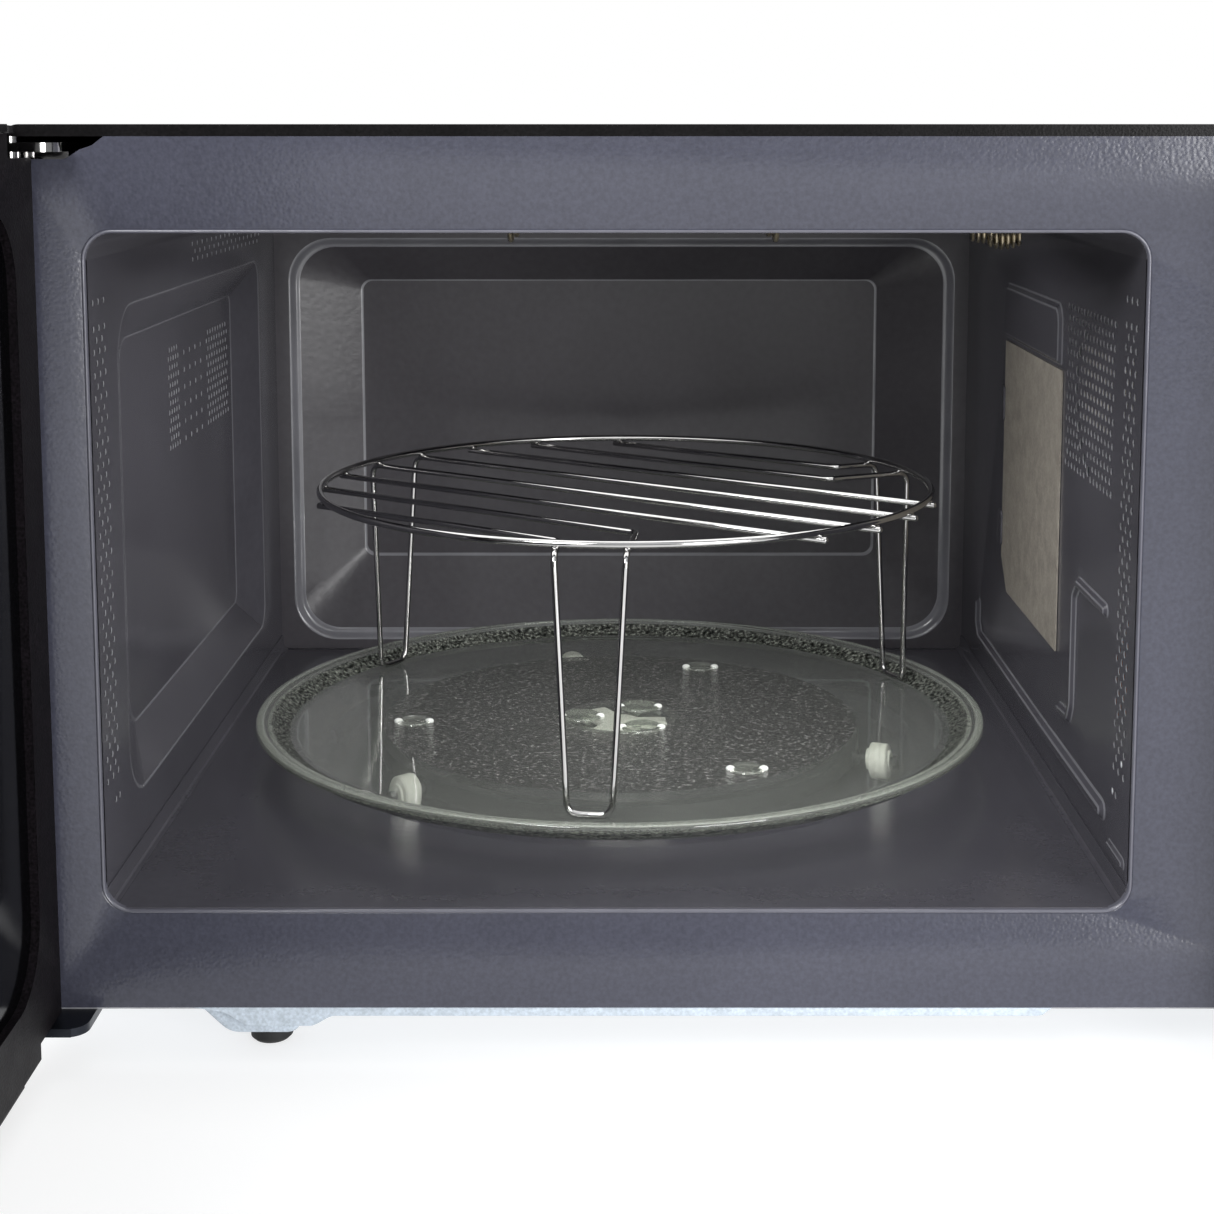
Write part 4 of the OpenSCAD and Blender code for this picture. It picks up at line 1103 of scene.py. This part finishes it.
def make_dial(x, z, lo, hi):
    """The metal dial with a ribbed side and a pointer let into its face."""
    build = Build()
    r = (hi.x - lo.x) / 2
    front = lo.y
    profile = [(0.01, 0.9), (r - 9, 0.8), (r - 7.2, 0.5), (r - 6.4, 0.1), (r - 3, 0.0), (r - 1.6, 0.3),
               (r - 0.7, 1.0), (r - 0.1, 2.2), (r - 0.1, 5), (r - 0.1, 9), (r - 0.1, 12.5), (r - 0.6, 14.4),
               (r - 2.4, 14.9), (3.1, 14.9), (3, 15.4), (3, hi.y - front), (0.01, hi.y - front)]
    count = 240
    rows = []
    for i in range(count + 1):
        a = 2 * math.pi * (i % count) / count
        groove = 0.35 * (0.5 + 0.5 * math.cos(60 * a))
        row = []
        for radius, d in profile + [profile[0]]:
            ribbed = radius - groove if 2 < d < 14 and radius > r - 1 else radius
            row.append((x + ribbed * math.cos(a), front + d, z + ribbed * math.sin(a)))
        rows.append(row)
    build.grid(rows, False)
    build.make("dial_knob", "dial", [ALUMINIUM], ["dial"], 0, None, 35)
    mark = Build(lambda u, v, d: (u, front - d, v))
    mark.slab(around([(x, z + r - 5.6), (x, z + r - 3.4)], 0.7, 3), -0.4, 0.0, 0.1)
    mark.make("dial_pointer", "dial", [GREY_PLASTIC])


# ---------- surroundings ----------

AMBIENT_LOW = 0.3
AMBIENT_HIGH = 1.1


def make_stage():
    """A white floor, and a world that is white to the eye and a soft gradient to the object."""
    mesh = bpy.data.meshes.new("stage_floor")
    size = 6
    mesh.from_pydata([(-size, -size, 0), (size, -size, 0), (size, size, 0), (-size, size, 0)], [],
                     [(0, 1, 2, 3)])
    floor = bpy.data.objects.new("stage_floor", mesh)
    scene.collection.objects.link(floor)
    material = finish_of("stage_white", (0.34, 0.34, 0.34), 0.7, 0.01, 500, 0.02, "noise", 20, 0.01,
                         Emission_Color=(1, 1, 1, 1), Emission_Strength=0.7)
    mesh.materials.append(material)
    world = bpy.data.worlds.new("world")
    scene.world = world
    world.use_nodes = True
    nodes = world.node_tree.nodes
    links = world.node_tree.links
    backdrop = nodes["Background"]
    backdrop.inputs["Color"].default_value = (1, 1, 1, 1)
    backdrop.inputs["Strength"].default_value = 1.0
    ambient = nodes.new("ShaderNodeBackground")
    ambient.inputs["Color"].default_value = (0.96, 0.98, 1.0, 1)
    place = nodes.new("ShaderNodeTexCoord")
    split = nodes.new("ShaderNodeSeparateXYZ")
    links.new(place.outputs["Generated"], split.inputs[0])
    rise = nodes.new("ShaderNodeMapRange")
    rise.interpolation_type = "SMOOTHSTEP"
    rise.inputs["From Min"].default_value = 0.0
    rise.inputs["From Max"].default_value = 0.8
    rise.inputs["To Min"].default_value = AMBIENT_LOW
    rise.inputs["To Max"].default_value = AMBIENT_HIGH
    links.new(split.outputs["Z"], rise.inputs["Value"])
    links.new(rise.outputs["Result"], ambient.inputs["Strength"])
    path = nodes.new("ShaderNodeLightPath")
    mixed = nodes.new("ShaderNodeMixShader")
    links.new(path.outputs["Is Camera Ray"], mixed.inputs[0])
    links.new(ambient.outputs["Background"], mixed.inputs[1])
    links.new(backdrop.outputs["Background"], mixed.inputs[2])
    links.new(mixed.outputs["Shader"], nodes["World Output"].inputs["Surface"])
    scene.view_settings.view_transform = "Standard"


def softbox(name, place, target, size, power):
    """A rectangular lamp that the camera doesn't see. Lengths in metres, power in watts."""
    data = bpy.data.lights.new(name, "AREA")
    data.shape = "RECTANGLE"
    data.size, data.size_y = size
    data.energy = power
    lamp = bpy.data.objects.new(name, data)
    lamp.location = place
    aim = Vector(target) - Vector(place)
    lamp.rotation_euler = aim.to_track_quat("-Z", "Y").to_euler()
    lamp.visible_camera = False
    scene.collection.objects.link(lamp)


finish_nodes()
make_front_plate()
make_base()
make_base_skirt()
make_door_glass()
make_left_wall()
make_right_wall()
make_ceiling()
make_rear_wall()
make_floor()
make_mica_clips()
make_grill_wires()
make_tray()
make_rack()
make_controls()
make_stage()
softbox("softbox_right", (1.3, -2.2, 0.55), (0.1, -0.1, 0.15), (1.0, 1.1), 44)
softbox("softbox_left", (-0.8, -1.6, 1.3), (-0.05, 0.0, 0.12), (0.7, 0.7), 28)
softbox("softbox_top", (0.0, 0.1, 1.9), (0, 0, 0.2), (1.6, 1.2), 10)
GLOW_FROM = (MID * MM, (FRONT + 120) * MM, (CEILING - 12) * MM)
GLOW_TO = (MID * MM, (FRONT + 150) * MM, 0)
softbox("cavity_glow", GLOW_FROM, GLOW_TO, (0.28, 0.16), 0.32)
